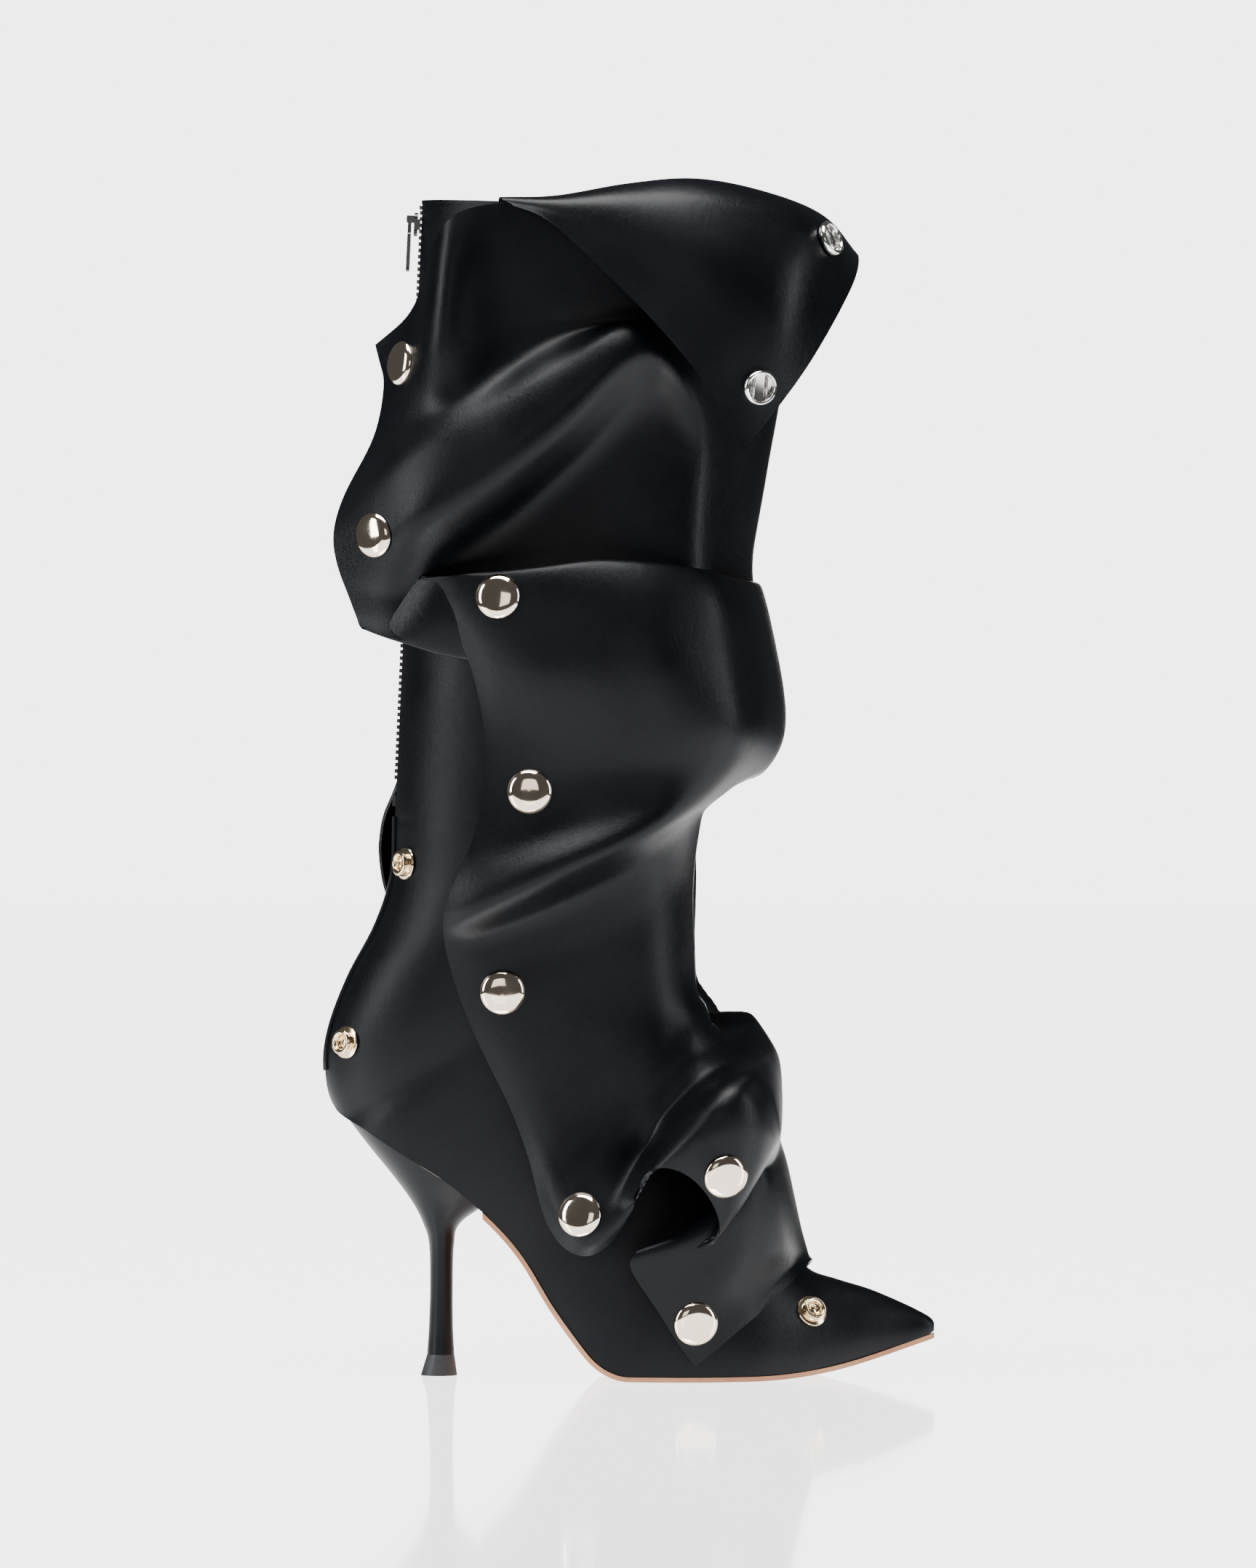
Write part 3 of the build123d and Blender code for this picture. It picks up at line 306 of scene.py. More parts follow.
def shell_object(name, grid, normals, thickness, outward, open_sides=""):
    """Leather piece: a grid, a second one under it, and cut edges except on open sides.

    Sides are T and B for the first and last row, L and R for the first and last column.
    """
    rows, columns = grid.shape[:2]
    under = grid - normals * thickness
    total = rows * columns
    vertices = np.concatenate([grid.reshape(-1, 3), under.reshape(-1, 3)]) * MM
    faces, loop_normals = [], []
    flat = normals.reshape(-1, 3)

    def add(face, face_normals):
        faces.append(face)
        loop_normals.extend(face_normals)

    for r in range(rows - 1):
        for c in range(columns - 1):
            here = r * columns + c
            face = [here, here + 1, here + columns + 1, here + columns]
            if outward < 0:
                face = face[::-1]
            add(face, flat[face])
            lower = face[::-1]
            add([total + v for v in lower], -flat[lower])
    edges = {
        "T": [(c, c + 1) for c in range(columns - 1)],
        "B": [((rows - 1) * columns + c + 1, (rows - 1) * columns + c)
              for c in range(columns - 1)],
        "L": [((r + 1) * columns, r * columns) for r in range(rows - 1)],
        "R": [(r * columns + columns - 1, (r + 1) * columns + columns - 1)
              for r in range(rows - 1)],
    }
    for side, pairs in edges.items():
        if side in open_sides:
            continue
        for a, b in pairs:
            face = [a, total + a, total + b, b]
            if outward < 0:
                face = face[::-1]
            out = np.cross(vertices[face[1]] - vertices[face[0]],
                           vertices[face[3]] - vertices[face[0]])
            add(face, [out / (np.linalg.norm(out) + TINY)] * 4)
    made = mesh_object(name, vertices.tolist(), faces)
    made.data.normals_split_custom_set([tuple(n) for n in loop_normals])
    return made


def half_outline(station, inset, share, side, end_half=None):
    """Point round one side of a station, share 0 at the front and 1 at the back end."""
    front_x, front_z, back_x, back_z, half_width, pinch, own_end = station
    down = np.array([back_x - front_x, back_z - front_z])
    length = np.hypot(*down)
    down = down / length
    width = half_width - inset
    opened = min(own_end / FULL_END, 1)
    end = (end_half or 0) if own_end < CLOSED_END else max(own_end - inset, 0)
    stop = math.pi - math.asin(min(end / width, 1))
    full = math.pi + (stop - math.pi) * opened
    angle = stop * share
    reach = (1 - math.cos(angle)) / (1 - math.cos(full))
    out = width * math.sin(angle) * (1 - pinch * (1 - reach))
    run = inset + (length - inset - inset * (1 - opened)) * reach
    return (front_x + down[0] * run, side * out, front_z + down[1] * run)


station_table = smooth_rows(STATIONS, STATION_STEPS)


def boot_grid(start, end, side, inset=0.0, low=0.0, high=1.0, columns=44, end_half=None):
    """Grid over one side of the boot between two stations."""
    rows = station_table[start * STATION_STEPS: end * STATION_STEPS + 1]
    shares = [low + (high - low) * k / columns for k in range(columns + 1)]
    return np.array([[half_outline(row, inset, s, side, end_half) for s in shares]
                     for row in rows])


def tree_of(*pieces):
    """Search tree over several meshes."""
    vertices, polygons = [], []
    for piece in pieces:
        start = len(vertices)
        vertices += [piece.matrix_world @ v.co for v in piece.data.vertices]
        polygons += [[start + v for v in p.vertices] for p in piece.data.polygons]
    return BVHTree.FromPolygons(vertices, polygons)


def interpolated(table, at):
    """Value at a place in a table sorted by its first column."""
    return float(np.interp(at, [row[0] for row in table], [row[1] for row in table]))


# ------------------------------------------------------------------ materials
def node_material(name):
    material = bpy.data.materials.new(name)
    material.use_nodes = True
    nodes = material.node_tree.nodes
    return material, nodes, material.node_tree.links, nodes["Principled BSDF"]


def noise(nodes, links, scale, detail, source, distortion=0.0, stretch=(1, 1, 1)):
    """Noise texture over object coordinates."""
    mapping = nodes.new("ShaderNodeMapping")
    mapping.inputs["Scale"].default_value = stretch
    links.new(source, mapping.inputs["Vector"])
    texture = nodes.new("ShaderNodeTexNoise")
    texture.inputs["Scale"].default_value = scale
    texture.inputs["Detail"].default_value = detail
    texture.inputs["Distortion"].default_value = distortion
    links.new(mapping.outputs["Vector"], texture.inputs["Vector"])
    return texture.outputs["Fac"]


def mapped(nodes, links, value, low, high, start=0.3, end=0.7):
    """A value spread to run from low to high."""
    spread = nodes.new("ShaderNodeMapRange")
    spread.inputs["From Min"].default_value = start
    spread.inputs["From Max"].default_value = end
    spread.inputs["To Min"].default_value = low
    spread.inputs["To Max"].default_value = high
    links.new(value, spread.inputs["Value"])
    return spread.outputs["Result"]


def bump(nodes, links, height, distance, strength=1.0, below=None):
    """Bump node, on top of another when one is given."""
    node = nodes.new("ShaderNodeBump")
    node.inputs["Strength"].default_value = strength
    node.inputs["Distance"].default_value = distance
    links.new(height, node.inputs["Height"])
    if below is not None:
        links.new(below, node.inputs["Normal"])
    return node.outputs["Normal"]


def coordinates(nodes):
    return nodes.new("ShaderNodeTexCoord").outputs["Object"]


def tint(nodes, links, value, dark, light):
    """Colour between two, by a value."""
    mix = nodes.new("ShaderNodeMix")
    mix.data_type = "RGBA"
    mix.inputs["A"].default_value = (*dark, 1)
    mix.inputs["B"].default_value = (*light, 1)
    links.new(value, mix.inputs["Factor"])
    return mix.outputs["Result"]


def leather(name, dark, light, rough_low, rough_high, crease):
    """Dyed leather with pores, fine creases and an uneven sheen."""
    material, nodes, links, shader = node_material(name)
    place = coordinates(nodes)
    broad = noise(nodes, links, 28, 3, place)
    fine = noise(nodes, links, 2600, 4, place)
    folds = noise(nodes, links, 210, 5, place, 1.2, (1.0, 1.0, 0.45))
    pores = nodes.new("ShaderNodeTexVoronoi")
    pores.feature = "DISTANCE_TO_EDGE"
    pores.inputs["Scale"].default_value = 1500
    links.new(place, pores.inputs["Vector"])
    links.new(tint(nodes, links, mapped(nodes, links, broad, 0, 1), dark, light),
              shader.inputs["Base Color"])
    links.new(mapped(nodes, links, broad, rough_low, rough_high), shader.inputs["Roughness"])
    grain = bump(nodes, links, mapped(nodes, links, pores.outputs["Distance"], 0, 1, 0, 0.12),
                 0.00005, 0.35)
    grain = bump(nodes, links, fine, 0.00006, 0.3, grain)
    worn = bump(nodes, links, mapped(nodes, links, folds, 0, 1, 0.3, 0.75), crease, 0.3, grain)
    links.new(worn, shader.inputs["Normal"])
    shader.inputs["Specular IOR Level"].default_value = 0.16
    return material


def metal(name, colour, other, rough_low, rough_high):
    """Plated metal with faint handling marks."""
    material, nodes, links, shader = node_material(name)
    place = coordinates(nodes)
    smear = noise(nodes, links, 120, 4, place, 0.6)
    scratch = noise(nodes, links, 900, 3, place, 0.0, (1, 1, 0.08))
    links.new(tint(nodes, links, mapped(nodes, links, smear, 0, 1), colour, other),
              shader.inputs["Base Color"])
    links.new(mapped(nodes, links, smear, rough_low, rough_high), shader.inputs["Roughness"])
    links.new(bump(nodes, links, scratch, 0.00001, 0.12), shader.inputs["Normal"])
    shader.inputs["Metallic"].default_value = 1.0
    return material


def plain(name, dark, light, rough_low, rough_high, scale=400, depth=0.00006):
    """Material with a speckled colour, for cork, board, rubber, plastic, thread and the zip."""
    material, nodes, links, shader = node_material(name)
    place = coordinates(nodes)
    speck = noise(nodes, links, scale, 5, place)
    links.new(tint(nodes, links, mapped(nodes, links, speck, 0, 1), dark, light),
              shader.inputs["Base Color"])
    links.new(mapped(nodes, links, speck, rough_low, rough_high), shader.inputs["Roughness"])
    links.new(bump(nodes, links, speck, depth, 0.4), shader.inputs["Normal"])
    return material


def woven(name, dark, light):
    """Woven tape: two crossing sets of threads."""
    material, nodes, links, shader = node_material(name)
    place = coordinates(nodes)
    waves = []
    for direction in ("Y", "Z"):
        wave = nodes.new("ShaderNodeTexWave")
        wave.bands_direction = direction
        wave.inputs["Scale"].default_value = 420
        links.new(place, wave.inputs["Vector"])
        waves.append(wave.outputs["Fac"])
    both = nodes.new("ShaderNodeMath")
    both.operation = "MULTIPLY"
    links.new(waves[0], both.inputs[0])
    links.new(waves[1], both.inputs[1])
    links.new(tint(nodes, links, both.outputs["Value"], dark, light), shader.inputs["Base Color"])
    links.new(bump(nodes, links, both.outputs["Value"], 0.0001, 0.6), shader.inputs["Normal"])
    shader.inputs["Roughness"].default_value = 0.8
    return material


black_calf = leather("black_calf", (0.0016, 0.0019, 0.0027), (0.0028, 0.0033, 0.0046),
                     0.30, 0.40, 0.00010)
panel_calf = leather("panel_calf", (0.0015, 0.0018, 0.0026), (0.0028, 0.0033, 0.0046),
                     0.27, 0.37, 0.00014)
heel_calf = leather("heel_calf", (0.0016, 0.0019, 0.0027), (0.0026, 0.0030, 0.0040),
                    0.30, 0.36, 0.00005)
lining_calf = leather("lining_calf", (0.010, 0.010, 0.010), (0.018, 0.017, 0.017),
                      0.55, 0.7, 0.0003)
sole_leather = leather("sole_leather", (0.36, 0.17, 0.09), (0.50, 0.26, 0.15), 0.4, 0.55, 0.0001)
pale_gold = metal("pale_gold", (0.90, 0.75, 0.58), (0.93, 0.80, 0.66), 0.05, 0.10)
warm_gold = metal("warm_gold", (0.80, 0.62, 0.38), (0.86, 0.70, 0.48), 0.10, 0.18)
silver = metal("silver", (0.80, 0.78, 0.74), (0.88, 0.86, 0.84), 0.08, 0.15)
steel = metal("steel", (0.45, 0.45, 0.46), (0.56, 0.56, 0.57), 0.25, 0.4)
black_metal = plain("black_metal", (0.006, 0.006, 0.007), (0.012, 0.012, 0.013), 0.14, 0.22,
                    scale=700, depth=0.00001)
thread = plain("thread", (0.012, 0.012, 0.014), (0.03, 0.03, 0.034), 0.5, 0.7, scale=3000)
tape_cloth = woven("tape_cloth", (0.004, 0.004, 0.004), (0.02, 0.02, 0.02))
stiffener = woven("stiffener", (0.30, 0.28, 0.22), (0.46, 0.43, 0.36))
cork = plain("cork", (0.20, 0.11, 0.05), (0.42, 0.27, 0.15), 0.8, 0.95, scale=500)
board = plain("board", (0.30, 0.22, 0.14), (0.42, 0.32, 0.22), 0.8, 0.9, scale=900)
plastic = plain("plastic", (0.05, 0.05, 0.05), (0.08, 0.08, 0.08), 0.4, 0.5)
rubber = plain("rubber", (0.008, 0.008, 0.009), (0.016, 0.016, 0.018), 0.45, 0.6)


def dress(piece, material, body):
    """Material and body of a piece made here."""
    piece.data.materials.clear()
    piece.data.materials.append(material)
    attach(piece, body)


# ------------------------------------------------------------------ the boot's upper
def whole_side(side):
    """One side of the upper, with the zip's slit open down the shaft."""
    shaft = boot_grid(0, SHAFT_END, side, end_half=SLIT)
    return np.concatenate([shaft, boot_grid(SHAFT_END, LAST, side)[1:]])


left, right = whole_side(-1), whole_side(1)
upper = np.concatenate([left[:, ::-1], right[:, 1:]], axis=1)
upper_normals = grid_normals(upper, -1)
middle = left.shape[1] - 1
seam = QUARTER_END * STATION_STEPS
upper_surface = grid_object("upper_surface", upper)
boot_tree = tree_of(upper_surface)
bpy.data.objects.remove(upper_surface)
for name, rows, columns, open_sides, node_names in (
        ("leg_lateral_leather", slice(0, seam + 1), slice(0, middle + 1), "BR",
         ("shaft_lateral", "quarter_lateral")),
        ("leg_medial_leather", slice(0, seam + 1), slice(middle, None), "BL",
         ("shaft_medial", "quarter_medial")),
        ("vamp_leather", slice(seam, None), slice(0, None), "T", ("vamp",))):
    piece = shell_object(name, upper[rows, columns], upper_normals[rows, columns],
                         UPPER_THICK, -1, open_sides)
    dress(piece, black_calf, "boot")
    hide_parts(*node_names)

strip_sides = [boot_grid(SHAFT_END, STRIP_END, side, -STRIP_THICK, 0.94, 1.0, columns=6)
               for side in (-1, 1)]
strip_grid = np.concatenate([strip_sides[0], strip_sides[1][:, ::-1][:, 1:]], 1)
back_strip = shell_object("back_strip", strip_grid, grid_normals(strip_grid, 1), STRIP_THICK, 1)
dress(back_strip, black_calf, "boot")
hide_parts("backstay")


# ------------------------------------------------------------------ the heel's cover
heel_table = smooth_rows(HEEL, 24)


def heel_point(height, angle):
    """Point of the heel's surface at a height and an angle round it."""
    back, front, half = [float(np.interp(height, heel_table[:, 0], heel_table[:, k]))
                         for k in (1, 2, 3)]
    return ((front + back) / 2 + (front - back) / 2 * math.cos(angle), half * math.sin(angle),
            height)


heel_columns = []
for number in range(HEEL_SIDES + 1):
    angle = 2 * math.pi * number / HEEL_SIDES
    height = HEEL_LOW
    while height < min(HEEL_HIGH, interpolated(HEEL_SEAT, heel_point(height, angle)[0])):
        height += 0.5
    heel_columns.append([heel_point(HEEL_LOW + (height - HEEL_LOW) * k / HEEL_STEPS, angle)
                         for k in range(HEEL_STEPS + 1)])
heel = grid_object("heel_leather", np.swapaxes(np.array(heel_columns), 0, 1))
dress(heel, heel_calf, "boot")
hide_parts("heel_cover")


# ------------------------------------------------------------------ the draped panel
def net_of(rows):
    """Net of points from rows of (x, height, distance out on the lateral side)."""
    return np.array([[(x, -out, height) for x, height, out in row] for row in rows], float)


ROW_STEPS, COLUMN_STEPS = 7, 8
INNER_COLUMNS = 8
lateral_net = net_of(PANEL_ROWS)
inner_net = []
for row, edge_height in zip(lateral_net, INNER_HEIGHTS):
    front = row[-1]
    edge_x = interpolated(INNER_EDGE, edge_height)
    points = [front]
    for step in range(1, INNER_COLUMNS + 1):
        share = step / INNER_COLUMNS
        height = front[2] + (edge_height - front[2]) * share
        half = interpolated(INNER_HALF, height) + 2.6 * math.sin(height / 13 + step * 0.7)
        centre = (front[0] + min(edge_x, -10)) / 2 - 2
        reach = front[0] - centre
        turn = math.acos(max(-1, min(1, (edge_x - centre) / reach))) * share
        points.append((centre + reach * math.cos(turn), half * math.sin(turn), height))
    inner_net.append(points)
full_net = np.concatenate([lateral_net, np.array(inner_net)[:, 1:]], axis=1)
full_grid = smooth_net(full_net, ROW_STEPS, COLUMN_STEPS)


def relax(grid, rounds, share=0.5):
    """Even out a grid a little, leaving its outer edges."""
    for _ in range(rounds):
        middle = (grid[:-2, 1:-1] + grid[2:, 1:-1] + grid[1:-1, :-2] + grid[1:-1, 2:]) / 4
        grid[1:-1, 1:-1] += share * (middle - grid[1:-1, 1:-1])
    return grid


NEAR_BOOT = 0.02


def keep_off(grid, tree, gap):
    """Push a grid's points out until they clear the boot by a gap in millimetres."""
    for index in np.ndindex(grid.shape[:2]):
        point = Vector(grid[index]) * MM
        place, normal, _, distance = tree.find_nearest(point)
        centre = Vector((min(max(point.x, 0.03), 0.1), 0, point.z))
        if normal.dot(place - centre) < 0:
            normal = -normal
        off = (point - place).dot(normal)
        if distance < NEAR_BOOT and off < gap * MM:
            grid[index] = (place + normal * gap * MM) / MM


def even_edges(grid, rounds):
    """Smooth the free edges of a grid along their own length."""
    for edge in (grid[:, 0], grid[:, -1], grid[0], grid[-1]):
        for _ in range(rounds):
            edge[1:-1] += 0.5 * ((edge[:-2] + edge[2:]) / 2 - edge[1:-1])


split = (len(PANEL_ROWS[0]) - 1) * COLUMN_STEPS
inner_part = full_grid[:, split - 10:]
even_edges(full_grid, 5)
relax(full_grid, 4)
relax(inner_part, 14)
keep_off(full_grid, boot_tree, PANEL_GAP)
relax(inner_part, 6)
relax(full_grid, 2)
lateral_grid = full_grid[:, : split + 1]
panel_normals = grid_normals(full_grid, 1)
lateral_panel = shell_object("panel_lateral", lateral_grid, panel_normals[:, : split + 1],
                             PANEL_THICK, 1)
medial_panel = shell_object("panel_medial", full_grid[:, split:], panel_normals[:, split:],
                            PANEL_THICK, 1)
panel_tree = tree_of(lateral_panel, medial_panel)

collar_grid = relax(smooth_net(net_of(COLLAR_COLUMNS), 10, 10), 3)
collar = shell_object("panel_collar", collar_grid, grid_normals(collar_grid, -1), PANEL_THICK, -1)
collar_tree = tree_of(collar)


# ------------------------------------------------------------------ stitching
STITCH_PITCH = 3.0
STITCH_LONG = 2.0
THREAD_R = 0.22
THREAD_SIDES = 6
STITCH_RINGS = [(0.0, 0.3), (0.2, 1.0), (0.8, 1.0), (1.0, 0.3)]  # share along, share of radius


def stitches(name, line, outward):
    """Row of thread stitches along a line of points in millimetres."""
    gaps = np.linalg.norm(np.diff(line, axis=0), axis=1)
    place = np.concatenate([[0], np.cumsum(gaps)])
    vertices, faces = [], []
    for start in np.arange(STITCH_PITCH / 2, place[-1] - STITCH_LONG, STITCH_PITCH):
        ends = [np.array([np.interp(at, place, line[:, k]) for k in range(3)])
                for at in (start, start + STITCH_LONG)]
        up = np.array([np.interp(start, place, outward[:, k]) for k in range(3)])
        along = ends[1] - ends[0]
        along = along / (np.linalg.norm(along) + TINY)
        side = np.cross(along, up)
        base = len(vertices)
        for at, size in STITCH_RINGS:
            centre = ends[0] + (ends[1] - ends[0]) * at + up * THREAD_R * 0.6 * size
            for k in range(THREAD_SIDES):
                turn = 2 * math.pi * k / THREAD_SIDES
                vertices.append(centre + THREAD_R * size * (side * math.cos(turn)
                                                            + up * math.sin(turn)))
        for ring in range(len(STITCH_RINGS) - 1):
            low = base + ring * THREAD_SIDES
            for k in range(THREAD_SIDES):
                after = (k + 1) % THREAD_SIDES
                faces.append((low + k, low + after, low + THREAD_SIDES + after,
                              low + THREAD_SIDES + k))
        far = base + (len(STITCH_RINGS) - 1) * THREAD_SIDES
        faces.append(tuple(base + k for k in range(THREAD_SIDES - 1, -1, -1)))
        faces.append(tuple(far + k for k in range(THREAD_SIDES)))
    made = mesh_object(name, (np.array(vertices) * MM).tolist(), faces)
    made.data.materials.append(thread)
    return made


def inside_edge(grid, distance):
    """Line a set distance in from a grid's first column, and the surface's way out along it."""
    line, out = [], []
    for r, row in enumerate(grid):
        place = np.concatenate([[0], np.cumsum(np.linalg.norm(np.diff(row, axis=0), axis=1))])
        line.append([np.interp(distance, place, row[:, k]) for k in range(3)])
        down = grid[min(r + 1, len(grid) - 1)][2] - grid[max(r - 1, 0)][2]
        normal = np.cross(row[3] - row[0], down)
        out.append(normal / (np.linalg.norm(normal) + TINY))
    return np.array(line), np.array(out)


STITCH_IN = 3.0
tail_grid = np.swapaxes(lateral_grid, 0, 1)[:, ::-1]
panel_stitch = stitches("panel_edge_stitches", *inside_edge(lateral_grid, STITCH_IN))
tail_stitch = stitches("panel_tail_stitches", *inside_edge(tail_grid, STITCH_IN))
collar_stitch = stitches("panel_collar_stitches", *inside_edge(collar_grid[:, ::-1], STITCH_IN))

for sheet_piece in (lateral_panel, medial_panel, collar):
    sheet_piece.data.materials.append(panel_calf)

for piece, body, moving_x in (
        (lateral_panel, "flap_lateral", 52.0), (panel_stitch, "flap_lateral", 52.0),
        (tail_stitch, "flap_lateral", 52.0), (medial_panel, "flap_medial", 50.0),
        (collar, "flap_lateral", 45.0), (collar_stitch, "flap_lateral", 45.0)):
    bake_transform(piece)
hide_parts("panel_flap_lateral_lower", "panel_flap_lateral_upper", "panel_front",
            "panel_tail", "panel_top_edge")
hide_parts("panel_flap_medial")
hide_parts("collar_front", "collar_rear")


# ------------------------------------------------------------------ snap hardware
# Turned profiles: radius, height above the seat
CAP = [(0.0, 2.75), (1.5, 2.73), (3.0, 2.66), (4.4, 2.52), (5.6, 2.3), (6.6, 1.98), (7.4, 1.55),
       (8.0, 1.05), (8.35, 0.6), (8.5, 0.3), (8.45, 0.05), (8.1, -0.1), (7.4, -0.05), (0.0, -0.05)]
SOCKET = [(0.0, 0.0), (5.8, 0.0), (6.5, 0.15), (6.75, 0.6), (6.7, 1.9), (6.4, 2.6), (5.9, 2.9),
          (5.4, 2.75), (5.1, 2.3), (5.0, 1.2), (4.9, 0.7), (3.2, 0.6), (0.0, 0.6)]
STUD = [(0.0, 0.0), (6.0, 0.0), (6.2, 0.25), (6.0, 0.6), (5.3, 0.85), (4.3, 1.0), (4.1, 1.5),
        (4.35, 2.2), (4.75, 2.8), (4.75, 3.2), (4.4, 3.6), (3.8, 3.75), (3.2, 3.55), (2.7, 3.1),
        (2.5, 2.4), (2.3, 1.4), (1.9, 1.15), (1.5, 1.4), (1.1, 1.6), (0.0, 1.65)]


TURNED_SIDES = 56
CREASE = math.radians(38)


def turned(profile, seat, vertices, faces, around=TURNED_SIDES):
    """Add a turned shape, standing on a seat, to lists of vertices and faces."""
    start = len(vertices)
    for radius, height in profile:
        for k in range(around):
            angle = 2 * math.pi * k / around
            vertices.append(seat @ Vector((radius * math.cos(angle) * MM,
                                           radius * math.sin(angle) * MM, height * MM)))
    for ring in range(len(profile) - 1):
        for k in range(around):
            a, b = start + ring * around + k, start + ring * around + (k + 1) % around
            faces.append((a, a + around, b + around, b))


def hardware(name, profile, seats, material, body, node_name):
    """One piece per kind of snap part, with a copy at every seat."""
    vertices, faces = [], []
    for seat in seats:
        turned(profile, seat, vertices, faces)
    made = mesh_object(name, vertices, faces)
    made.data.validate()
    made.data.set_sharp_from_angle(angle=CREASE)
    dress(made, material, body)
    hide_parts(node_name)


SEAT_REACH = 4.0         # the seat's direction is the mean over this far round its middle


def seat_on(tree, x, z, side=-1):
    """Seat on the outermost surface at a place in side view, its z axis pointing out."""
    hits = []
    for dx, dz in ((0, 0), (SEAT_REACH, 0), (-SEAT_REACH, 0), (0, SEAT_REACH), (0, -SEAT_REACH)):
        start = Vector(((x + dx) * MM, side * 0.2, (z + dz) * MM))
        place, normal, _, _ = tree.ray_cast(start, Vector((0, -side, 0)))
        if place is not None:
            hits.append((place, normal if normal.y * side > 0 else -normal))
    out = sum((normal for _, normal in hits), Vector()).normalized()
    rotation = out.to_track_quat("Z", "Y").to_matrix().to_4x4()
    return Matrix.Translation(hits[0][0]) @ rotation


def flipped(seat):
    """Seat on the other face of the panel."""
    through = Matrix.Translation((0, 0, -PANEL_THICK * MM))
    return seat @ through @ Matrix.Rotation(math.pi, 4, "X")


lateral_seats = [seat_on(panel_tree, x, z) for x, z in LATERAL_CAPS]
front_seats = [seat_on(panel_tree, x, z) for x, z in FRONT_CAPS]
inner_seats = [seat_on(panel_tree, x, z, side=1) for x, z in INNER_CAPS]
collar_seats = [seat_on(collar_tree, x, z) for x, z in COLLAR_SNAPS]
outer_studs = [seat_on(boot_tree, x, z) for x, z in OUTER_STUDS]
inner_studs = [seat_on(boot_tree, x, z, side=1) for x, z in INNER_STUDS]
for kind, profile, material, slot, groups in (
        ("caps", CAP, pale_gold, "pale_gold", (
            ("lateral", lateral_seats, "flap_lateral", "flap_lateral_caps"),
            ("front", front_seats, "boot", "front_caps"),
            ("medial", inner_seats, "flap_medial", "flap_medial_caps"),
            ("collar", [flipped(seat) for seat in collar_seats], "boot", "collar_caps"))),
        ("sockets", SOCKET, silver, "silver", (
            ("collar", collar_seats, "boot", "collar_sockets"),
            ("lateral", [flipped(seat) for seat in lateral_seats], "flap_lateral",
             "flap_lateral_sockets"),
            ("medial", [flipped(seat) for seat in inner_seats], "flap_medial",
             "flap_medial_sockets"),
            ("front", [flipped(seat) for seat in front_seats], "boot", "front_sockets"))),
        ("studs", STUD, warm_gold, "warm_gold", (
            ("outer", outer_studs, "boot", "boot_studs_lateral"),
            ("inner", inner_studs, "boot", "boot_studs_medial")))):
    for place, seats, body, node_name in groups:
        hardware(f"{kind}_{place}", profile, seats, material, body, node_name)

WIRE = [(0.0, 0.0), (0.42, 0.0), (0.42, 7.8), (0.0, 7.8)]
WIRE_SIDES = 12
vertices, faces = [], []
for seat in collar_seats:
    for side in (-2.6, 2.6):
        wire = seat @ Matrix.Translation((side * MM, -3.9 * MM, 1.5 * MM)) \
            @ Matrix.Rotation(-math.pi / 2, 4, "X")
        turned(WIRE, wire, vertices, faces, WIRE_SIDES)
springs = mesh_object("socket_springs", vertices, faces)
springs.data.validate()
dress(springs, steel, "boot")
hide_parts("collar_socket_springs")

# ------------------------------------------------------------------ CAD nodes that show
NODE_MATERIALS = {
    "outsole": sole_leather, "sole_filler": cork, "shank": steel, "insole_board": board,
    "sock_lining": lining_calf, "heel_block": plastic, "heel_tip": rubber,
    "heel_tip_pin": steel, "heel_rod": steel, "heel_screw": steel, "heel_nails": steel,
    "toe_puff": stiffener, "heel_counter": stiffener, "shaft_lining": lining_calf,
    "quarter_lining_lateral": lining_calf, "quarter_lining_medial": lining_calf,
    "vamp_lining": lining_calf, "top_binding": black_calf, "zip_tape": tape_cloth,
    "zip_teeth": black_metal, "zip_stops": black_metal, "zip_slider": black_metal,
    "zip_pull": black_metal,
}
for name, material in NODE_MATERIALS.items():
    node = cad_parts[name]
    node.data.materials.clear()
    node.data.materials.append(material)

# ------------------------------------------------------------------ studio
WHITE = (1.0, 1.0, 1.005, 1)
WALL_GLOW = 4.4
FLOOR_GLOW = 5.8
FLOOR_GLOSS = 0.42
FLOOR_RADIUS = 6.0
NEAR_FLOOR = 0.85        # half width of the floor that the object's own mirror shine sees
RING_SIDES = 64
WALL_HEIGHT, ROOF_HEIGHT = 7, 9


def empty_material(name):
    """Material with an output node only."""
    material = bpy.data.materials.new(name)
    material.use_nodes = True
    nodes = material.node_tree.nodes
    nodes.clear()
    return material, nodes, material.node_tree.links, nodes.new("ShaderNodeOutputMaterial")


def emission(nodes, strength):
    glow = nodes.new("ShaderNodeEmission")
    glow.inputs["Color"].default_value = WHITE
    glow.inputs["Strength"].default_value = strength
    return glow.outputs[0]


def mixed(nodes, links, share, first, second):
    """Two shaders mixed, with a share of the second."""
    mix = nodes.new("ShaderNodeMixShader")
    mix.inputs["Fac"].default_value = share
    links.new(first, mix.inputs[1])
    links.new(second, mix.inputs[2])
    return mix.outputs[0]


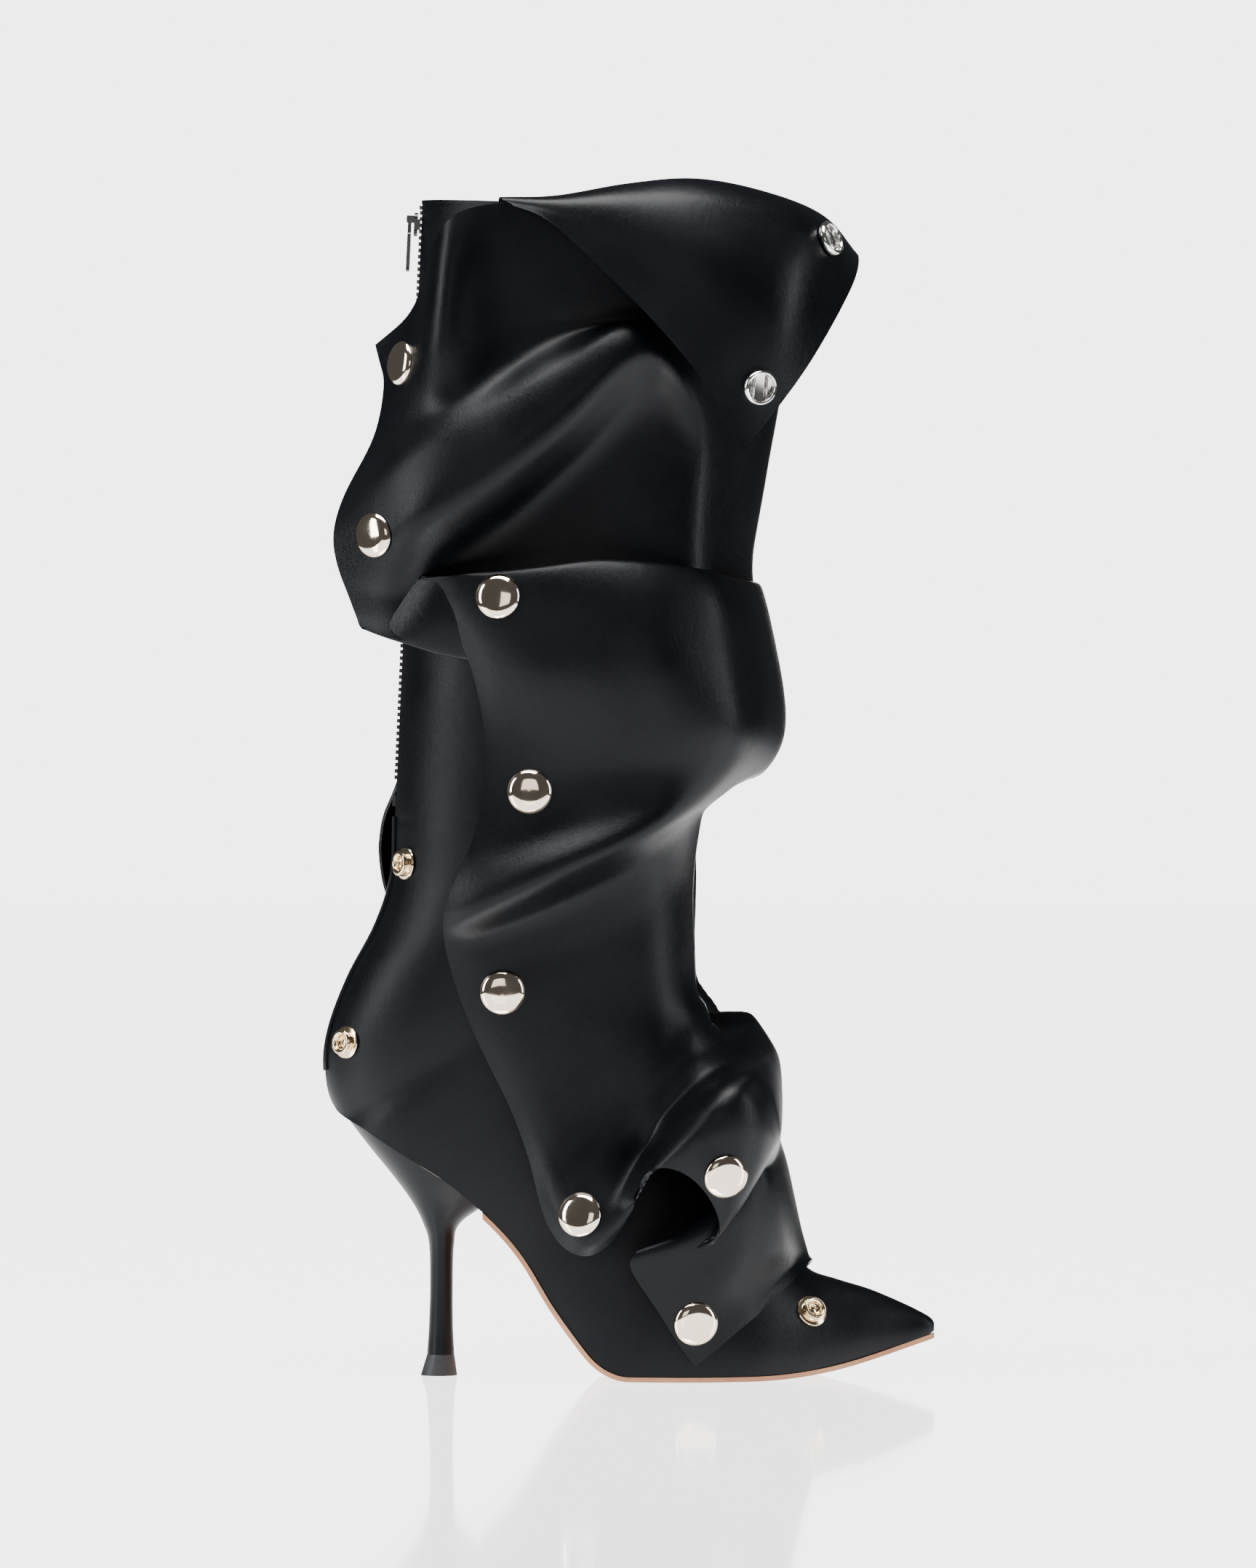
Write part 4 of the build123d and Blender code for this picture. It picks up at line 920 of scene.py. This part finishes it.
pale_floor, nodes, links, output = empty_material("pale_floor")
diffuse = nodes.new("ShaderNodeBsdfDiffuse")
diffuse.inputs["Color"].default_value = (0.78, 0.78, 0.785, 1)
shine = nodes.new("ShaderNodeBsdfGlossy")
shine.inputs["Roughness"].default_value = 0.06
shine.inputs["Color"].default_value = (0.95, 0.95, 0.95, 1)
base = mixed(nodes, links, 0.72, diffuse.outputs[0], emission(nodes, FLOOR_GLOW))
links.new(mixed(nodes, links, FLOOR_GLOSS, base, shine.outputs[0]), output.inputs["Surface"])

pale_wall, nodes, links, output = empty_material("pale_backdrop")
links.new(emission(nodes, WALL_GLOW), output.inputs["Surface"])


def stage_mesh(name, corners, faces, material, seen_in_mirrors=True):
    """Floor or wall that isn't part of the object."""
    mesh = bpy.data.meshes.new(name)
    mesh.from_pydata(corners, [], faces)
    made = bpy.data.objects.new(name, mesh)
    made.data.materials.append(material)
    made.visible_glossy = seen_in_mirrors
    made.visible_diffuse = seen_in_mirrors
    made.visible_shadow = False
    bpy.context.scene.collection.objects.link(made)


def square(half):
    return [(-half, -half, 0), (half, -half, 0), (half, half, 0), (-half, half, 0)]


stage_mesh("floor_near", square(NEAR_FLOOR), [(0, 1, 2, 3)], pale_floor)
stage_mesh("floor_far", square(NEAR_FLOOR) + square(FLOOR_RADIUS),
           [(k, k + 4, (k + 1) % 4 + 4, (k + 1) % 4) for k in range(4)], pale_floor, False)
turns = [2 * math.pi * k / RING_SIDES for k in range(RING_SIDES)]
ring = [(FLOOR_RADIUS * math.cos(turn), FLOOR_RADIUS * math.sin(turn)) for turn in turns]
pairs = [(k, (k + 1) % RING_SIDES) for k in range(RING_SIDES)]
stage_mesh("backdrop",
           [(x, y, z) for z in (0, WALL_HEIGHT) for x, y in ring] + [(0, 0, ROOF_HEIGHT)],
           [(a, b, b + RING_SIDES, a + RING_SIDES) for a, b in pairs]
           + [(a + RING_SIDES, b + RING_SIDES, 2 * RING_SIDES) for a, b in pairs],
           pale_wall, False)


MIDDLE = (0.07, 0, 0.24)
COOL = (0.93, 0.97, 1.0)
WARM = (1.0, 0.96, 0.92)


def softbox(name, place, width, height, power, colour=(1, 1, 1)):
    """Soft rectangular light turned to the middle of the boot."""
    light = bpy.data.lights.new(name, "AREA")
    light.shape = "RECTANGLE"
    light.size, light.size_y = width, height
    light.energy = power
    light.color = colour
    made = bpy.data.objects.new(name, light)
    made.location = place
    made.rotation_euler = (Vector(MIDDLE) - Vector(place)).to_track_quat("-Z", "Y").to_euler()
    bpy.context.scene.collection.objects.link(made)


softbox("top", (-0.1, -0.35, 1.7), 1.2, 0.9, 60)
softbox("left", (-1.5, -0.65, 0.7), 0.45, 1.2, 22, COOL)
softbox("right", (1.5, -0.4, 0.55), 0.35, 1.1, 10, COOL)
softbox("front", (-0.35, -2.7, 0.62), 1.0, 0.9, 5, WARM)

# Dim all round, and bright in the direction that the floor mirrors to the camera
world = bpy.data.worlds.new("studio")
bpy.context.scene.world = world
world.use_nodes = True
nodes, links = world.node_tree.nodes, world.node_tree.links
direction = nodes.new("ShaderNodeSeparateXYZ")
links.new(nodes.new("ShaderNodeTexCoord").outputs["Generated"], direction.inputs["Vector"])
background = nodes["Background"]
background.inputs["Color"].default_value = WHITE
links.new(mapped(nodes, links, direction.outputs["Y"], 0.08, WALL_GLOW, 0.975, 0.992),
          background.inputs["Strength"])

camera_data = bpy.data.cameras.new("camera")
camera_data.sensor_fit = "VERTICAL"
camera_data.sensor_height = 36.0
camera_data.lens = 240.0
camera_data.clip_end = 50
camera = bpy.data.objects.new("camera", camera_data)
AIM = Vector((0.0724, 0.0, 0.2264))
camera.location = AIM + Vector((0.0, -4.0, 0.075))
camera.rotation_euler = (AIM - camera.location).to_track_quat("-Z", "Y").to_euler()
bpy.context.scene.collection.objects.link(camera)
bpy.context.scene.camera = camera

bpy.context.view_layer.update()
